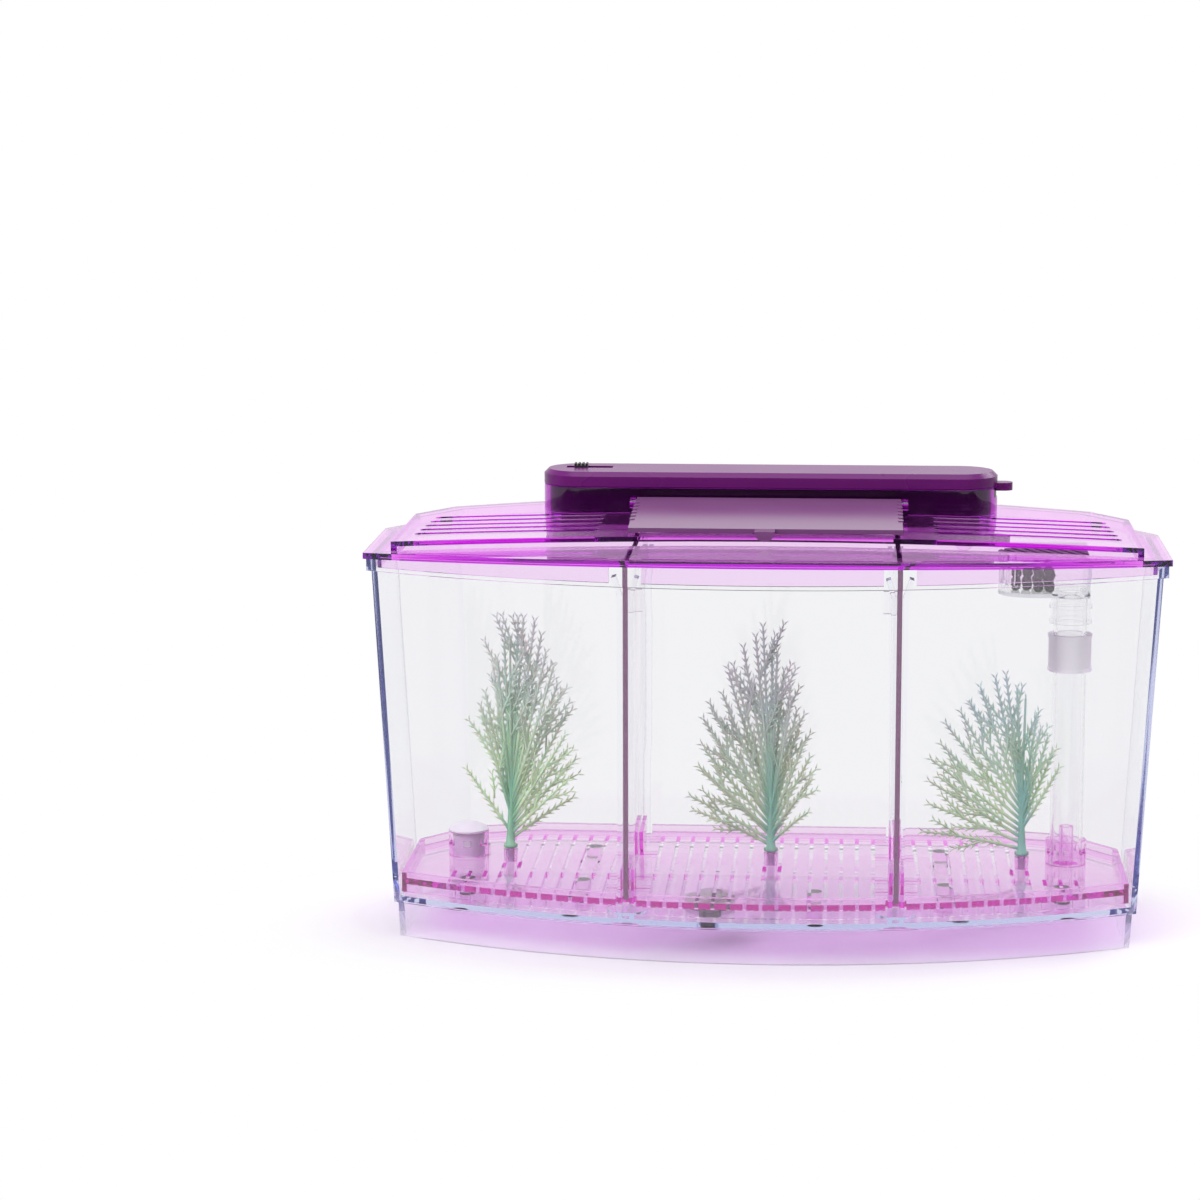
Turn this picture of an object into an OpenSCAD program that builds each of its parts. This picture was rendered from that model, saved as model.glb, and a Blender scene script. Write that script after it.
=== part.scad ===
// Three-compartment fish breeding box with a bowed front.
// Clear tapered tank, slotted filter plate with uplift tube, two lift-out dividers,
// three feathery plants, and a crowned lid that carries a feeding hatch and a battery lamp.
// Origin: middle of the footprint, on the surface that the plinth stands on. Front is -Y.

/* [Overall] */
// Width across the lid flange
lid_w = 255; // [230:1:300]
// Depth from the middle of the bowed front to the rear edge of the lid
lid_d = 121; // [110:1:145]
// Height of the tank rim at its front corners
tank_h = 123.5; // [105:0.5:150]
// How far the bowed front stands out from its corners
bow = 33; // [22:1:40]
// Rise of the rim and the lid from the sides to the middle
crown = 3; // [1.5:0.1:5]
// Width taken by each cut rear corner
corner_x = 20.5; // [12:0.5:28]
// Depth taken by each cut rear corner
corner_y = 26; // [16:0.5:32]
// Width of the slanted stretch between a cut corner and the lamp
slant_x = 29; // [15:0.5:40]
// Depth taken by that slanted stretch
slant_y = 8; // [2:0.5:12]

/* [Tank] */
// Wall thickness of the tank
wall_t = 2.2; // [1.6:0.1:3]
// Lean of the side and rear walls, in degrees
side_lean = 3.2; // [1:0.1:5]
// Lean of the bowed front wall, in degrees
front_lean = 1.5; // [0.5:0.1:3]
// Distance of the wall's outside face from the edge of the lid
lid_over = 2.4; // [1.5:0.1:4]
// Distance of the rim band's outside face from the edge of the lid
rim_over = 1; // [0.5:0.1:1.4]
// Height of the rim band at the corners
rim_h = 3.7; // [2.5:0.1:6]
// Height of the plinth below the step
plinth_h = 11.4; // [8:0.1:16]
// Inward step of the plinth
plinth_step = 1.2; // [0.6:0.1:2]
// Thickness of the tank floor
floor_t = 2; // [1.5:0.1:3]

/* [Dividers] */
// Distance of each divider from the middle of the tank
divider_x = 42.2; // [36:0.1:50]
// Thickness of a divider
divider_t = 1.6; // [1.2:0.1:2.4]
// Clearance on each side of a divider in its channel
divider_gap = 0.3; // [0.2:0.05:0.5]
// Clearance between a divider's edges and the tank walls
divider_end_gap = 0.6; // [0.4:0.1:1]
// Depth of the channel ribs
rib_depth = 5; // [3:0.5:8]
// Thickness of a channel rib
rib_t = 1.5; // [1:0.1:2.5]
// Width of the grip tab near a divider's top
grip_w = 4.2; // [3:0.1:6]
// Height of the grip tab
grip_h = 7; // [5:0.5:10]

/* [Filter plate] */
// Height of the plate's upper surface above the table
deck_z = 19; // [17.5:0.1:24]
// Thickness of the plate
deck_t = 2; // [1.5:0.1:2.6]
// Clearance between the plate and the tank walls
plate_gap = 0.8; // [0.5:0.1:1.5]
// Height of the raised edge above the plate
edge_h = 2; // [1:0.1:3]
// Thickness of the raised edge and skirt
edge_t = 1.8; // [1.2:0.1:2.5]
// Gap between the skirt and the tank floor
skirt_gap = 1.2; // [0.8:0.1:2]
// Spacing of the drain slots
slot_pitch = 5; // [4:0.1:7]
// Width of a drain slot
slot_w = 1.2; // [0.8:0.1:2]
// Width of the bar between the two rows of slots
bar_w = 5; // [3:0.5:8]
// Distance of the bar in front of the middle of the tank
bar_y = 10.5; // [5:0.5:15]
// Diameter of a foot under the plate
foot_d = 5; // [3:0.5:7]

/* [Uplift tube] */
// Outside diameter of the uplift tube
tube_d = 10.6; // [9:0.1:13]
// Bore of the uplift tube
tube_bore = 8.6; // [7:0.1:11]
// Radial clearance of parts that slide on or in the tube fits
tube_fit = 0.1; // [0.05:0.01:0.1]
// Distance of the tube from the inside of the side wall at the plate
tube_wall = 18.8; // [14:0.1:26]
// Distance of the tube behind the middle of the tank
tube_y = 10.5; // [4:0.5:16]
// Wall of the socket rings on the plate
socket_wall = 1.2; // [0.8:0.1:2]
// Height of the socket rings above the plate
socket_h = 8; // [5:0.5:12]
// Height of the frosted sleeve
sleeve_h = 12; // [8:0.5:18]
// Wall of the frosted sleeve
sleeve_wall = 1.5; // [1:0.1:2.5]
// Height of the sleeve's lower end above the table
sleeve_z = 83.5; // [60:0.5:86]
// Length of the cartridge case on top of the tube
case_l = 29; // [24:0.5:36]
// Width of the cartridge case
case_w = 20; // [16:0.5:24]
// Height of the cartridge case
case_h = 13.5; // [10:0.5:15]
// Wall of the cartridge case
case_t = 1.2; // [0.8:0.1:2]

/* [Lid] */
// Thickness of the lid flange
flange_t = 2; // [1.6:0.1:3]
// Height of the platform above the flange
platform_h = 3; // [2:0.1:5]
// Thickness of the platform and its risers
platform_t = 1.8; // [1.4:0.1:2.6]
// Width of the flange left beside the platform
flange_side = 8.8; // [7.5:0.1:14]
// Distance of the platform's front edge behind the front corners
platform_back = 1.6; // [0:0.1:6]
// Gap between the lid and whatever it rests on
seat_gap = 0.1; // [0.05:0.05:0.2]
// Gap between the lid's locating skirt and the tank wall
skirt_fit = 0.6; // [0.4:0.1:1]
// Thickness of the locating skirt
skirt_t = 1.5; // [1:0.1:2.2]
// Depth of the locating skirt below the rim
skirt_h = 2.9; // [1.5:0.1:5]
// Number of vent slots on each side
vents = 5; // [3:1:5]
// Spacing of the vent slots
vent_pitch = 9.1; // [7:0.1:9.2]
// Width of a vent slot
vent_w = 3.6; // [2:0.1:4.5]

/* [Hatch] */
// Width of the feeding hatch
hatch_w = 87; // [80:0.5:100]
// Distance of the hatch's front edge behind the platform's front edge
hatch_back = 5; // [3:0.5:8]
// Thickness of the hatch plate
hatch_t = 1.5; // [1.2:0.1:2.2]
// Rise of the hatch from its front edge to its rear edge
hatch_rise = 3.3; // [2.5:0.1:4]
// Width of the lid around the opening that the hatch rests over
hatch_lap = 3; // [2:0.5:5]
// Diameter of the hinge pins
pin_d = 2; // [1.6:0.1:2.4]
// Radial clearance of the hinge pins in the lid's lugs
pin_fit = 0.05; // [0.03:0.01:0.1]
// Number of grip teeth on each side of the hatch
teeth = 7; // [4:1:9]

/* [Lamp] */
// Length of the lamp
lamp_l = 151.2; // [140:0.2:170]
// Depth of the lamp, front to back
lamp_w = 25.6; // [24:0.2:30]
// Distance of the lamp's rear face from the rear edge of the lid
lamp_rear = 5.2; // [4.8:0.1:9]
// Height of the lamp's top above the flange
lamp_top = 18.9; // [18:0.1:24]
// Height of the lamp cap
cap_h = 4.8; // [4:0.1:6]
// Bevel around the top of the cap
cap_bevel = 1.5; // [0.8:0.1:2]
// Wall of the cap
cap_t = 1.5; // [1.2:0.1:1.8]
// Wall of the lid's turret around the lamp
turret_t = 1.8; // [1.4:0.1:2.4]
// Gap between the turret and the lamp body
turret_fit = 0.3; // [0.2:0.05:0.5]
// Wall of the lamp body
tray_t = 1.5; // [1.2:0.1:2]
// Diameter of a battery
cell_d = 10.5; // [10:0.1:10.5]
// Length of a battery with its button
cell_l = 44.5; // [43.5:0.1:45]
// Number of light-emitting diodes
led_n = 6; // [3:1:9]
// Length of the switch slot in the cap
switch_slot = 15.5; // [14:0.5:18]
// Distance of the switch slot's middle from the lamp's left end
switch_in = 15.1; // [14:0.1:18]
// Width of the switch slot
switch_slot_w = 5; // [4:0.5:6]
// Length of the slide knob
knob_l = 4.4; // [3:0.2:6]

/* [Plants] */
// Distance of the outer plants from the middle of the tank
plant_x = 83.5; // [75:0.5:90]
// Distance of the middle plant to the right of the middle of the tank
plant_mid_x = 2; // [-5:0.5:5]
// Distance of the plants behind the middle of the tank
plant_y = 2; // [-2:0.5:6]
// Height of the left plant
plant_left_h = 88; // [60:1:96]
// Height of the middle plant
plant_mid_h = 83; // [60:1:96]
// Height of the right plant
plant_right_h = 78; // [60:1:96]
// Outside diameter of a plant cup on the plate
cup_d = 4.6; // [4:0.1:6]
// Height of a plant cup
cup_h = 4; // [3:0.5:6]
// Diameter of a plant's peg
peg_d = 2.4; // [2:0.1:3]
// Radial clearance of a peg in its cup
peg_fit = 0.1; // [0.05:0.01:0.1]

/* [Drain plug] */
// Distance of the plug to the left of the middle of the tank
plug_x = 16.5; // [10:0.5:30]
// Distance of the plug in front of the middle of the tank
plug_y = 31; // [20:0.5:40]
// Diameter of the hole that the plug closes
plug_hole = 7; // [5:0.5:9]
// Diameter of the plug's brim
plug_brim = 16; // [12:0.5:20]

/* [Hidden] */
$fn = 48;
arc_fn = 720;
crown_fn = 1440;
eps = 0.01;
far = 400;

// Plan of the lid, seen from above
half_w = lid_w / 2;
front_y = -lid_d / 2;
rear_y = lid_d / 2;
arc_r = (half_w * half_w + bow * bow) / (2 * bow);
arc_cy = front_y + arc_r;
front_corner_y = front_y + bow;
side_end_y = rear_y - slant_y - corner_y;
corner_a = atan2(corner_x, corner_y);
slant_a = atan2(slant_x, slant_y);
// Each straight wall: the angle of its outward normal and its distance from the origin
walls = [[0, half_w],
         [corner_a, half_w * cos(corner_a) + side_end_y * sin(corner_a)],
         [slant_a, (half_w - corner_x) * cos(slant_a) + (side_end_y + corner_y) * sin(slant_a)],
         [90, rear_y]];

// Heights
crown_r = (half_w * half_w + crown * crown) / (2 * crown);
flange_bottom = tank_h + seat_gap;
flange_top = flange_bottom + flange_t;
platform_top = flange_top + platform_h;
lamp_top_z = flange_top + lamp_top;
cap_z = lamp_top_z - cap_h;
floor_z = plinth_h + floor_t;
skirt_low = floor_z + skirt_gap;
deck_low = deck_z - deck_t;
edge_top = deck_z + edge_h;
wall_in = lid_over + wall_t;

// Insets of the inside faces at a height, side and front
function side_inset(z) = wall_in + (tank_h - z) * tan(side_lean);
function front_inset(z) = wall_in + (tank_h - z) * tan(front_lean);
function crown_at(x) = sqrt(crown_r * crown_r - x * x) - (crown_r - crown);
function front_inside_y(x, z) = arc_cy - sqrt(pow(arc_r - front_inset(z), 2) - x * x);
function rear_inside_y(z) = rear_y - side_inset(z);
// Rear limit at a distance from the middle, inside all straight walls, for an inset
function rear_limit(x, inset) = min([for (w = [for (i = [1:3]) walls[i]])
    (w[1] - inset - abs(x) * cos(w[0])) / sin(w[0])]);

// Lamp
lamp_y = rear_y - lamp_rear - lamp_w / 2;
lamp_front_y = lamp_y - lamp_w / 2;
turret_top = cap_z - 0.4;
body_l = lamp_l - 2 * (turret_t + turret_fit);
body_w = lamp_w - 2 * (turret_t + turret_fit);
ledge_t = 1.6;
ledge_in = 2;
well_z = flange_bottom;
body_z = well_z + ledge_t + seat_gap;
body_floor = body_z + tray_t;
body_top = cap_z + 1.8;
lens_t = 1;
lens_gap = 0.15;
window_l = 100;
window_w = 10.6;
board_shift = 9;
board_l = 118;
board_w = 13;
board_t = 1.2;
led_h = 1.1;
board_z = body_floor + lens_t + led_h + 0.5;
tray_floor = 0.6;
holder_z = board_z + board_t + 0.2;
cell_z = holder_z + tray_floor + cell_d / 2 + 0.1;
contact_t = 0.4;
spring_l = 2.6;
holder_wall = 0.9;
holder_in_l = 2 * cell_l + 2 * contact_t + spring_l + 0.4;
holder_l = holder_in_l + 2 * holder_wall;
holder_w = cell_d + 0.4 + 2 * holder_wall;
holder_h = 7;
holder_x = 4;
holder_left = holder_x - holder_in_l / 2;
screw_d = 2;
boss_d = 5;
switch_x = -lamp_l / 2 + switch_in;
switch_y = lamp_y + 1.8;
switch_z = cap_z - 2.4;
switch_h = 4.6;
switch_l = 15;
switch_w = 6;
knob_x = switch_x - switch_slot / 2 + knob_l / 2 + 2.7;

// Hatch
hatch_front_y = front_corner_y + platform_back + hatch_back;
pin_y = lamp_front_y - 4.2;
hatch_rear_y = pin_y + 2.1;
hatch_z = platform_top + crown + 0.25;
hatch_len = hatch_rear_y - hatch_front_y;
cheek_t = 1.5;
barrel_d = pin_d + 2.4;
pin_z = hatch_z + hatch_rise - 0.9;
lug_gap = 0.4;
lug_t = 1.9;

// Tube
tube_x = half_w - side_inset(deck_z) - tube_wall;
socket_in = tube_d + 2 * tube_fit;
socket_out = socket_in + 2 * socket_wall;
tube_low = deck_z + 0.3;
collar_z = sleeve_z + sleeve_h + 3.7;
case_z = collar_z + 9.5;
tube_top = case_z - 1;
nozzle_d = 4.6;
nozzle_bore = 2.6;
nozzle_top = deck_z + 12.5;

module walls_block(angle, dist, lean) {
    rotate([0, 0, angle]) translate([dist, 0, tank_h]) rotate([0, lean, 0])
        translate([-far, -far / 2, -far / 2]) cube([far, far, far]);
}

// Solid with the tank's plan between two heights; the walls lean unless `at` fixes them
// at the size they have at that height
module prism(side_in, front_in, z0, z1, at = undef) {
    lean = is_undef(at) ? side_lean : 0;
    side_off = side_in + (is_undef(at) ? 0 : (tank_h - at) * tan(side_lean));
    fz0 = is_undef(at) ? z0 : at;
    fz1 = is_undef(at) ? z1 : at;
    intersection() {
        translate([0, arc_cy, z0])
            cylinder(h = z1 - z0,
                     r1 = arc_r - front_in - (tank_h - fz0) * tan(front_lean),
                     r2 = arc_r - front_in - (tank_h - fz1) * tan(front_lean), $fn = arc_fn);
        for_walls(side_off, lean);
        translate([-far / 2, -far / 2, z0]) cube([far, far, z1 - z0]);
    }
}

module for_walls(off, lean) {
    intersection() {
        walls_block(walls[0][0], walls[0][1] - off, lean);
        walls_block(walls[1][0], walls[1][1] - off, lean);
        walls_block(walls[2][0], walls[2][1] - off, lean);
        walls_block(walls[3][0], walls[3][1] - off, lean);
        mirror([1, 0, 0]) walls_block(walls[0][0], walls[0][1] - off, lean);
        mirror([1, 0, 0]) walls_block(walls[1][0], walls[1][1] - off, lean);
        mirror([1, 0, 0]) walls_block(walls[2][0], walls[2][1] - off, lean);
    }
}

// The same plan with upright walls at the lid's own size
module plan(inset, z0, z1) { prism(inset, inset, z0, z1, tank_h); }

// Everything below the crowned surface that has height z at the lid's side edges
module under_crown(z) {
    translate([0, 0, z - (crown_r - crown)]) rotate([90, 0, 0])
        cylinder(r = crown_r, h = far, center = true, $fn = crown_fn);
}

module crown_layer(z0, z1) {
    difference() {
        under_crown(z1);
        under_crown(z0);
    }
}

// Stadium: straight bar with half-round ends, along X
module stadium(l, w, h, bevel = 0) {
    run = l - w;
    for (s = [-1, 1]) translate([s * run / 2, 0, 0]) {
        cylinder(d = w, h = h - bevel, $fn = 96);
        if (bevel > 0) translate([0, 0, h - bevel])
            cylinder(d1 = w, d2 = w - 2 * bevel, h = bevel, $fn = 96);
    }
    rotate([90, 0, 90]) translate([0, 0, -run / 2]) linear_extrude(run)
        polygon([[-w / 2, 0], [w / 2, 0], [w / 2, h - bevel],
                 [w / 2 - bevel, h], [bevel - w / 2, h], [-w / 2, h - bevel]]);
}

module box(x0, x1, y0, y1, z0, z1) {
    translate([x0, y0, z0]) cube([x1 - x0, y1 - y0, z1 - z0]);
}

module both_sides() {
    children();
    mirror([1, 0, 0]) children();
}

// ---------------------------------------------------------------- tank
channel_half = divider_t / 2 + divider_gap + rib_t;
rib_low = floor_z;
rib_top = tank_h - rim_h - 3;

// Two ribs on the front wall and two on the rear wall, on each side of a divider
module channel_ribs() {
    intersection() {
        difference() {
            prism(wall_in - eps, wall_in - eps, rib_low, rib_top);
            prism(wall_in + rib_depth, wall_in + rib_depth, rib_low - 1, rib_top + 1);
        }
        for (s = [-1, 1]) {
            box(divider_x + s * (channel_half - rib_t / 2) - rib_t / 2,
                divider_x + s * (channel_half - rib_t / 2) + rib_t / 2,
                -far / 2, far / 2, 0, far);
        }
        box(divider_x - 10, divider_x + 10, -far / 2, far / 2, 0, far);
    }
}

// Flared mouth that guides a divider into its front channel
funnel_h = 6;
funnel_a = 17;
mouth_half = channel_half + funnel_h * tan(funnel_a) + 0.6;
module funnel() {
    intersection() {
        difference() {
            prism(wall_in - eps, wall_in - eps, rib_top - eps, tank_h + crown);
            prism(wall_in + rib_depth, wall_in + rib_depth, rib_top - 1, far / 2);
        }
        for (s = [-1, 1]) translate([divider_x + s * (channel_half - rib_t / 2), 0, rib_top])
            rotate([0, s * funnel_a, 0]) box(-rib_t / 2, rib_t / 2, -far / 2, 0, -0.4, funnel_h);
        box(divider_x - 10, divider_x + 10, -far / 2, 0, 0, far);
    }
}

// Low rounded pads on the floor in front of the channels
pad_d = 13;
pad_h = 1;
module floor_pads() {
    both_sides() translate([divider_x, front_inside_y(divider_x, floor_z) + 10, floor_z - eps])
        cylinder(d = pad_d, h = pad_h + eps);
}

module tank_shell() {
    color("aliceblue", 0.4) difference() {
        union() {
            difference() {
                intersection() {
                    union() {
                        prism(lid_over, lid_over, plinth_h, tank_h + crown + 1);
                        prism(lid_over + plinth_step, lid_over + plinth_step, 0, plinth_h + eps);
                        plan(rim_over, tank_h - rim_h, tank_h + crown + 1);
                    }
                    under_crown(tank_h);
                }
                prism(wall_in, wall_in, floor_z, tank_h + crown + 2);
                prism(wall_in + plinth_step, wall_in + plinth_step, -1, plinth_h);
            }
            both_sides() channel_ribs();
            both_sides() funnel();
            floor_pads();
        }
        translate([-plug_x, -plug_y, plinth_h - 1]) cylinder(d = plug_hole, h = floor_t + 2);
    }
}

// Rubber plug through the tank floor: brim and grip inside, bead under the floor
plug_brim_t = 1.2;
plug_grip_d = 7.5;
plug_bead = 1.2;
module drain_plug() {
    brim_z = floor_z + 0.05;
    color("dimgray") translate([-plug_x, -plug_y, 0]) {
        translate([0, 0, brim_z]) cylinder(d = plug_brim, h = plug_brim_t);
        translate([0, 0, brim_z]) cylinder(d = plug_grip_d, h = deck_low - brim_z - 0.4);
        translate([0, 0, plinth_h - 3]) cylinder(d = plug_hole - 0.1, h = floor_t + 4);
        translate([0, 0, plinth_h - 3])
            cylinder(d1 = plug_hole - 2, d2 = plug_hole + plug_bead, h = 2.9);
    }
}

// ---------------------------------------------------------------- filter plate
plate_in = plate_gap;
notch_half = channel_half + 0.7;
function plate_front_y(x) = front_inside_y(x, skirt_low) + plate_gap;
plate_side_x = half_w - side_inset(skirt_low) - plate_gap;
slot_margin = edge_t + 2.4;
slot_side = 11.5;
rear_row_side = 27;
slot_count = floor((plate_side_x - slot_side) / slot_pitch);
plate_rear_in = side_inset(skirt_low) + plate_gap + slot_margin + 4;

module plate_outline(inset, z0, z1) {
    prism(wall_in + plate_in + inset, wall_in + plate_in + inset, z0, z1, skirt_low);
}

// Front row follows the bow, rear row keeps clear of the sockets and cut corners
module drain_slots() {
    for (i = [-slot_count:slot_count]) {
        x = i * slot_pitch;
        if (abs(abs(x) - divider_x) > 3) {
            box(x - slot_w / 2, x + slot_w / 2, plate_front_y(x) + slot_margin,
                -bar_y - bar_w / 2, deck_low - 1, deck_z + 1);
            if (abs(x) < plate_side_x - rear_row_side)
                box(x - slot_w / 2, x + slot_w / 2, -bar_y + bar_w / 2,
                    min(rear_limit(x, plate_rear_in), 40), deck_low - 1, deck_z + 1);
        }
    }
}

// Thin notches that cut the front skirt into short lengths
module skirt_notches() {
    for (i = [-slot_count:slot_count]) {
        x = (i + 0.5) * slot_pitch;
        box(x - 0.4, x + 0.4, plate_front_y(x) - 2, plate_front_y(x) + edge_t + 1.5,
            skirt_low - 1, deck_low + 0.5);
    }
}

module socket_ring() {
    translate([0, 0, deck_z - eps]) difference() {
        cylinder(d = socket_out, h = socket_h);
        translate([0, 0, -1]) cylinder(d = socket_in, h = socket_h + 2);
        // Arched windows at the foot of the ring
        for (a = [0, 60, 120]) rotate([0, 0, a])
            box(-1.3, 1.3, -far / 20, far / 20, socket_h * 0.45, socket_h * 0.7);
    }
}

module guide_fin(y0, y1, h) {
    for (s = [-1, 1])
        box(divider_x + s * (divider_t / 2 + divider_gap + 0.6) - 0.6,
            divider_x + s * (divider_t / 2 + divider_gap + 0.6) + 0.6,
            y0, y1, deck_z - eps, deck_z + h);
    for (y = [y0 + 1, y1 - 2]) for (s = [-1, 1])
        box(divider_x + s * (divider_t / 2 + divider_gap + 3.5) - 2.5,
            divider_x + s * (divider_t / 2 + divider_gap + 3.5) + 2.5,
            y, y + 1, deck_z - eps, deck_z + 1);
}

plant_spots = [[-plant_x, plant_y], [plant_mid_x, plant_y], [plant_x, plant_y]];
cup_bore = peg_d + 2 * peg_fit;

module filter_plate() {
    color("plum", 0.7) difference() {
        union() {
            difference() {
                union() {
                    plate_outline(0, deck_low, deck_z);
                    difference() {
                        plate_outline(0, skirt_low, edge_top);
                        plate_outline(edge_t, skirt_low - 1, edge_top + 1);
                    }
                }
                drain_slots();
                skirt_notches();
            }
            for (x = [-0.82, -0.5, 0.5, 0.82]) for (y = [-20, 26])
                translate([x * plate_side_x, y, floor_z])
                    cylinder(d = foot_d, h = deck_low - floor_z + 0.5);
            translate([plug_x, -plug_y, floor_z]) cylinder(d = foot_d, h = deck_low - floor_z + 0.5);
            for (s = [-1, 1]) translate([s * tube_x, tube_y, 0]) {
                translate([0, 0, deck_low]) cylinder(d = socket_out + 2, h = deck_t);
                socket_ring();
            }
            for (p = plant_spots) translate([p[0], p[1], 0]) {
                translate([0, 0, deck_low]) cylinder(d = cup_d + 3, h = deck_t);
                translate([0, 0, deck_low]) cylinder(d1 = cup_d - 0.6, d2 = cup_d, h = deck_t + cup_h);
            }
            both_sides() {
                guide_fin(12, 36, 8);
                guide_fin(-34, -16, 7);
            }
        }
        for (s = [-1, 1]) translate([s * tube_x, tube_y, deck_low - 1])
            cylinder(d = tube_bore, h = deck_t + 2);
        for (p = plant_spots) translate([p[0], p[1], deck_z - 0.5])
            cylinder(d = cup_bore, h = cup_h + 1);
        // Room for the channel ribs, front and rear
        both_sides() for (f = [0, 1])
            box(divider_x - notch_half, divider_x + notch_half,
                f == 0 ? -far : rear_inside_y(skirt_low) - rib_depth - 0.9,
                f == 0 ? plate_front_y(divider_x) + rib_depth + 0.9 : far, 0, far);
    }
    color("plum", 0.7) translate([tube_x, tube_y, 0]) nozzle();
}

// Air nozzle on three spokes in the middle of the right socket
module nozzle() {
    difference() {
        union() {
            translate([0, 0, deck_low]) cylinder(d = nozzle_d, h = nozzle_top - deck_low);
            for (a = [90, 210, 330]) rotate([0, 0, a])
                box(nozzle_bore / 2 + 0.4, tube_bore / 2 + 0.5, -0.6, 0.6,
                    deck_low + 0.1, deck_z - 0.2);
        }
        translate([0, 0, deck_low - 1]) cylinder(d = nozzle_bore, h = far);
    }
}

// ---------------------------------------------------------------- dividers
divider_low = deck_z + 0.3;
divider_top = tank_h + crown_at(divider_x + 3) - 0.5;
divider_rear_top = well_z - 0.5;
divider_step_y = lamp_front_y - 5;
grip_y = front_inside_y(divider_x, rib_top) + rib_depth + 1.4;

module divider() {
    z0 = divider_low;
    z1 = divider_top;
    translate([divider_x - divider_t / 2, 0, 0]) rotate([90, 0, 90]) linear_extrude(divider_t)
        polygon([[front_inside_y(divider_x + 1, z0) + divider_end_gap, z0],
                 [rear_inside_y(z0) - divider_end_gap, z0],
                 [rear_inside_y(divider_rear_top) - divider_end_gap, divider_rear_top],
                 [divider_step_y, divider_rear_top], [divider_step_y, z1],
                 [front_inside_y(divider_x + 1, min(z1, tank_h)) + divider_end_gap + 0.3, z1]]);
    // Finger grip beside the top of the front edge, towards the middle compartment
    box(divider_x - divider_t / 2 - grip_w, divider_x, grip_y, grip_y + 1.6,
        rib_top - grip_h + 1, rib_top + 1);
}

module divider_left() { color("plum", 0.6) mirror([1, 0, 0]) divider(); }
module divider_right() { color("plum", 0.6) divider(); }

// ---------------------------------------------------------------- uplift
module uplift_tube() {
    color("lightcyan", 0.5) translate([tube_x, tube_y, tube_low]) difference() {
        cylinder(d = tube_d, h = tube_top - tube_low);
        translate([0, 0, -1]) cylinder(d = tube_bore, h = far);
    }
}

module tube_sleeve() {
    bore = tube_d + 2 * tube_fit;
    color("gainsboro") translate([tube_x, tube_y, sleeve_z]) difference() {
        union() {
            cylinder(d = bore + 2 * sleeve_wall, h = sleeve_h);
            for (z = [0, sleeve_h - 1]) translate([0, 0, z])
                cylinder(d = bore + 2 * sleeve_wall + 0.5, h = 1);
        }
        translate([0, 0, -1]) cylinder(d = bore, h = far);
    }
}

// Plan of the cartridge case: square end over the tube, round end towards the middle
case_over = 5.5;
case_round_x = case_w / 2 + case_over - case_l;
module case_plan(inset, h) {
    r = case_w / 2 - inset;
    translate([case_round_x, 0, 0]) cylinder(r = r, h = h, $fn = 64);
    box(case_round_x, case_over - inset, -r, r, 0, h);
}

module cartridge_case() {
    bore = tube_d + 2 * tube_fit;
    collar_out = bore + 2 * 1;
    color("lightcyan", 0.6) translate([tube_x, tube_y, 0]) difference() {
        union() {
            translate([0, 0, collar_z]) cylinder(d = collar_out, h = case_z - collar_z + 1);
            translate([0, 0, collar_z]) cylinder(d = collar_out + 1, h = 1.2);
            translate([0, 0, collar_z + 5]) cylinder(d = collar_out + 1, h = 1.2);
            difference() {
                translate([0, 0, case_z]) case_plan(0, case_h - case_t);
                translate([0, 0, case_z + case_t]) case_plan(case_t, case_h);
            }
        }
        translate([0, 0, collar_z - 1]) cylinder(d = bore, h = tube_top - collar_z + 1.3);
        translate([0, 0, collar_z]) cylinder(d = tube_bore, h = far);
        // Outlet slits round the rounded end
        for (a = [-60:20:60]) translate([case_round_x, 0, case_z + 3])
            rotate([0, 0, 180 + a]) box(case_w / 2 - 3, case_w / 2 + 1, -0.6, 0.6, 0, 6.5);
    }
}

// Louvred cover of the cartridge case
module cartridge_lid() {
    color("slategray") translate([tube_x, tube_y, case_z + case_h - case_t + 0.05]) difference() {
        case_plan(0, case_t);
        for (i = [0:6]) translate([2.5 - i * 3.6, 0, -1]) rotate([0, 0, 25])
            box(-0.7, 0.7, -case_w * 0.36, case_w * 0.36, 0, case_t + 2);
    }
}

// Charcoal grains on the floor of the case, beside the tube's mouth, in two layers
grain_r = 1.7;
grain_pitch = 2 * grain_r + 0.1;
case_round_r = case_w / 2 - case_t - grain_r - 0.1;
module carbon_grains() {
    first_x = -tube_bore / 2 - grain_r - 1.4;
    color("darkslategray") translate([tube_x, tube_y, case_z + case_t + grain_r + 0.1])
        for (k = [0, 1]) for (i = [0:4]) for (j = [-2:2]) {
            x = first_x - i * grain_pitch;
            y = j * grain_pitch;
            if (norm([min(x - case_round_x, 0), y]) <= case_round_r)
                translate([x, y, k * grain_pitch]) rotate([23 * i, 17 * j, 40 * k])
                    sphere(r = grain_r, $fn = 8);
        }
}

// White domed cap that closes the spare socket
module port_cap() {
    color("whitesmoke") translate([-tube_x, tube_y, 0]) {
        translate([0, 0, deck_z + 0.3]) cylinder(d = tube_d, h = socket_h + 0.2);
        translate([0, 0, deck_z + socket_h + 0.3]) intersection() {
            cylinder(d = socket_out, h = 3.2);
            translate([0, 0, -8]) sphere(r = 10.8, $fn = 96);
        }
    }
}

// ---------------------------------------------------------------- plants
// Frond: one bent twig of two tapering lengths, on eight sides
module frond(z, az, out, l, r) {
    knee = l * 0.55;
    translate([0, 0, z]) rotate([0, 0, az]) rotate([0, out, 0]) {
        cylinder(r1 = r, r2 = r * 0.75, h = knee, $fn = 8);
        translate([0, 0, knee - 0.3]) rotate([0, -out * 0.45, 0])
            cylinder(r1 = r * 0.78, r2 = r * 0.35, h = l - knee + 0.3, $fn = 8);
    }
}

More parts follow.
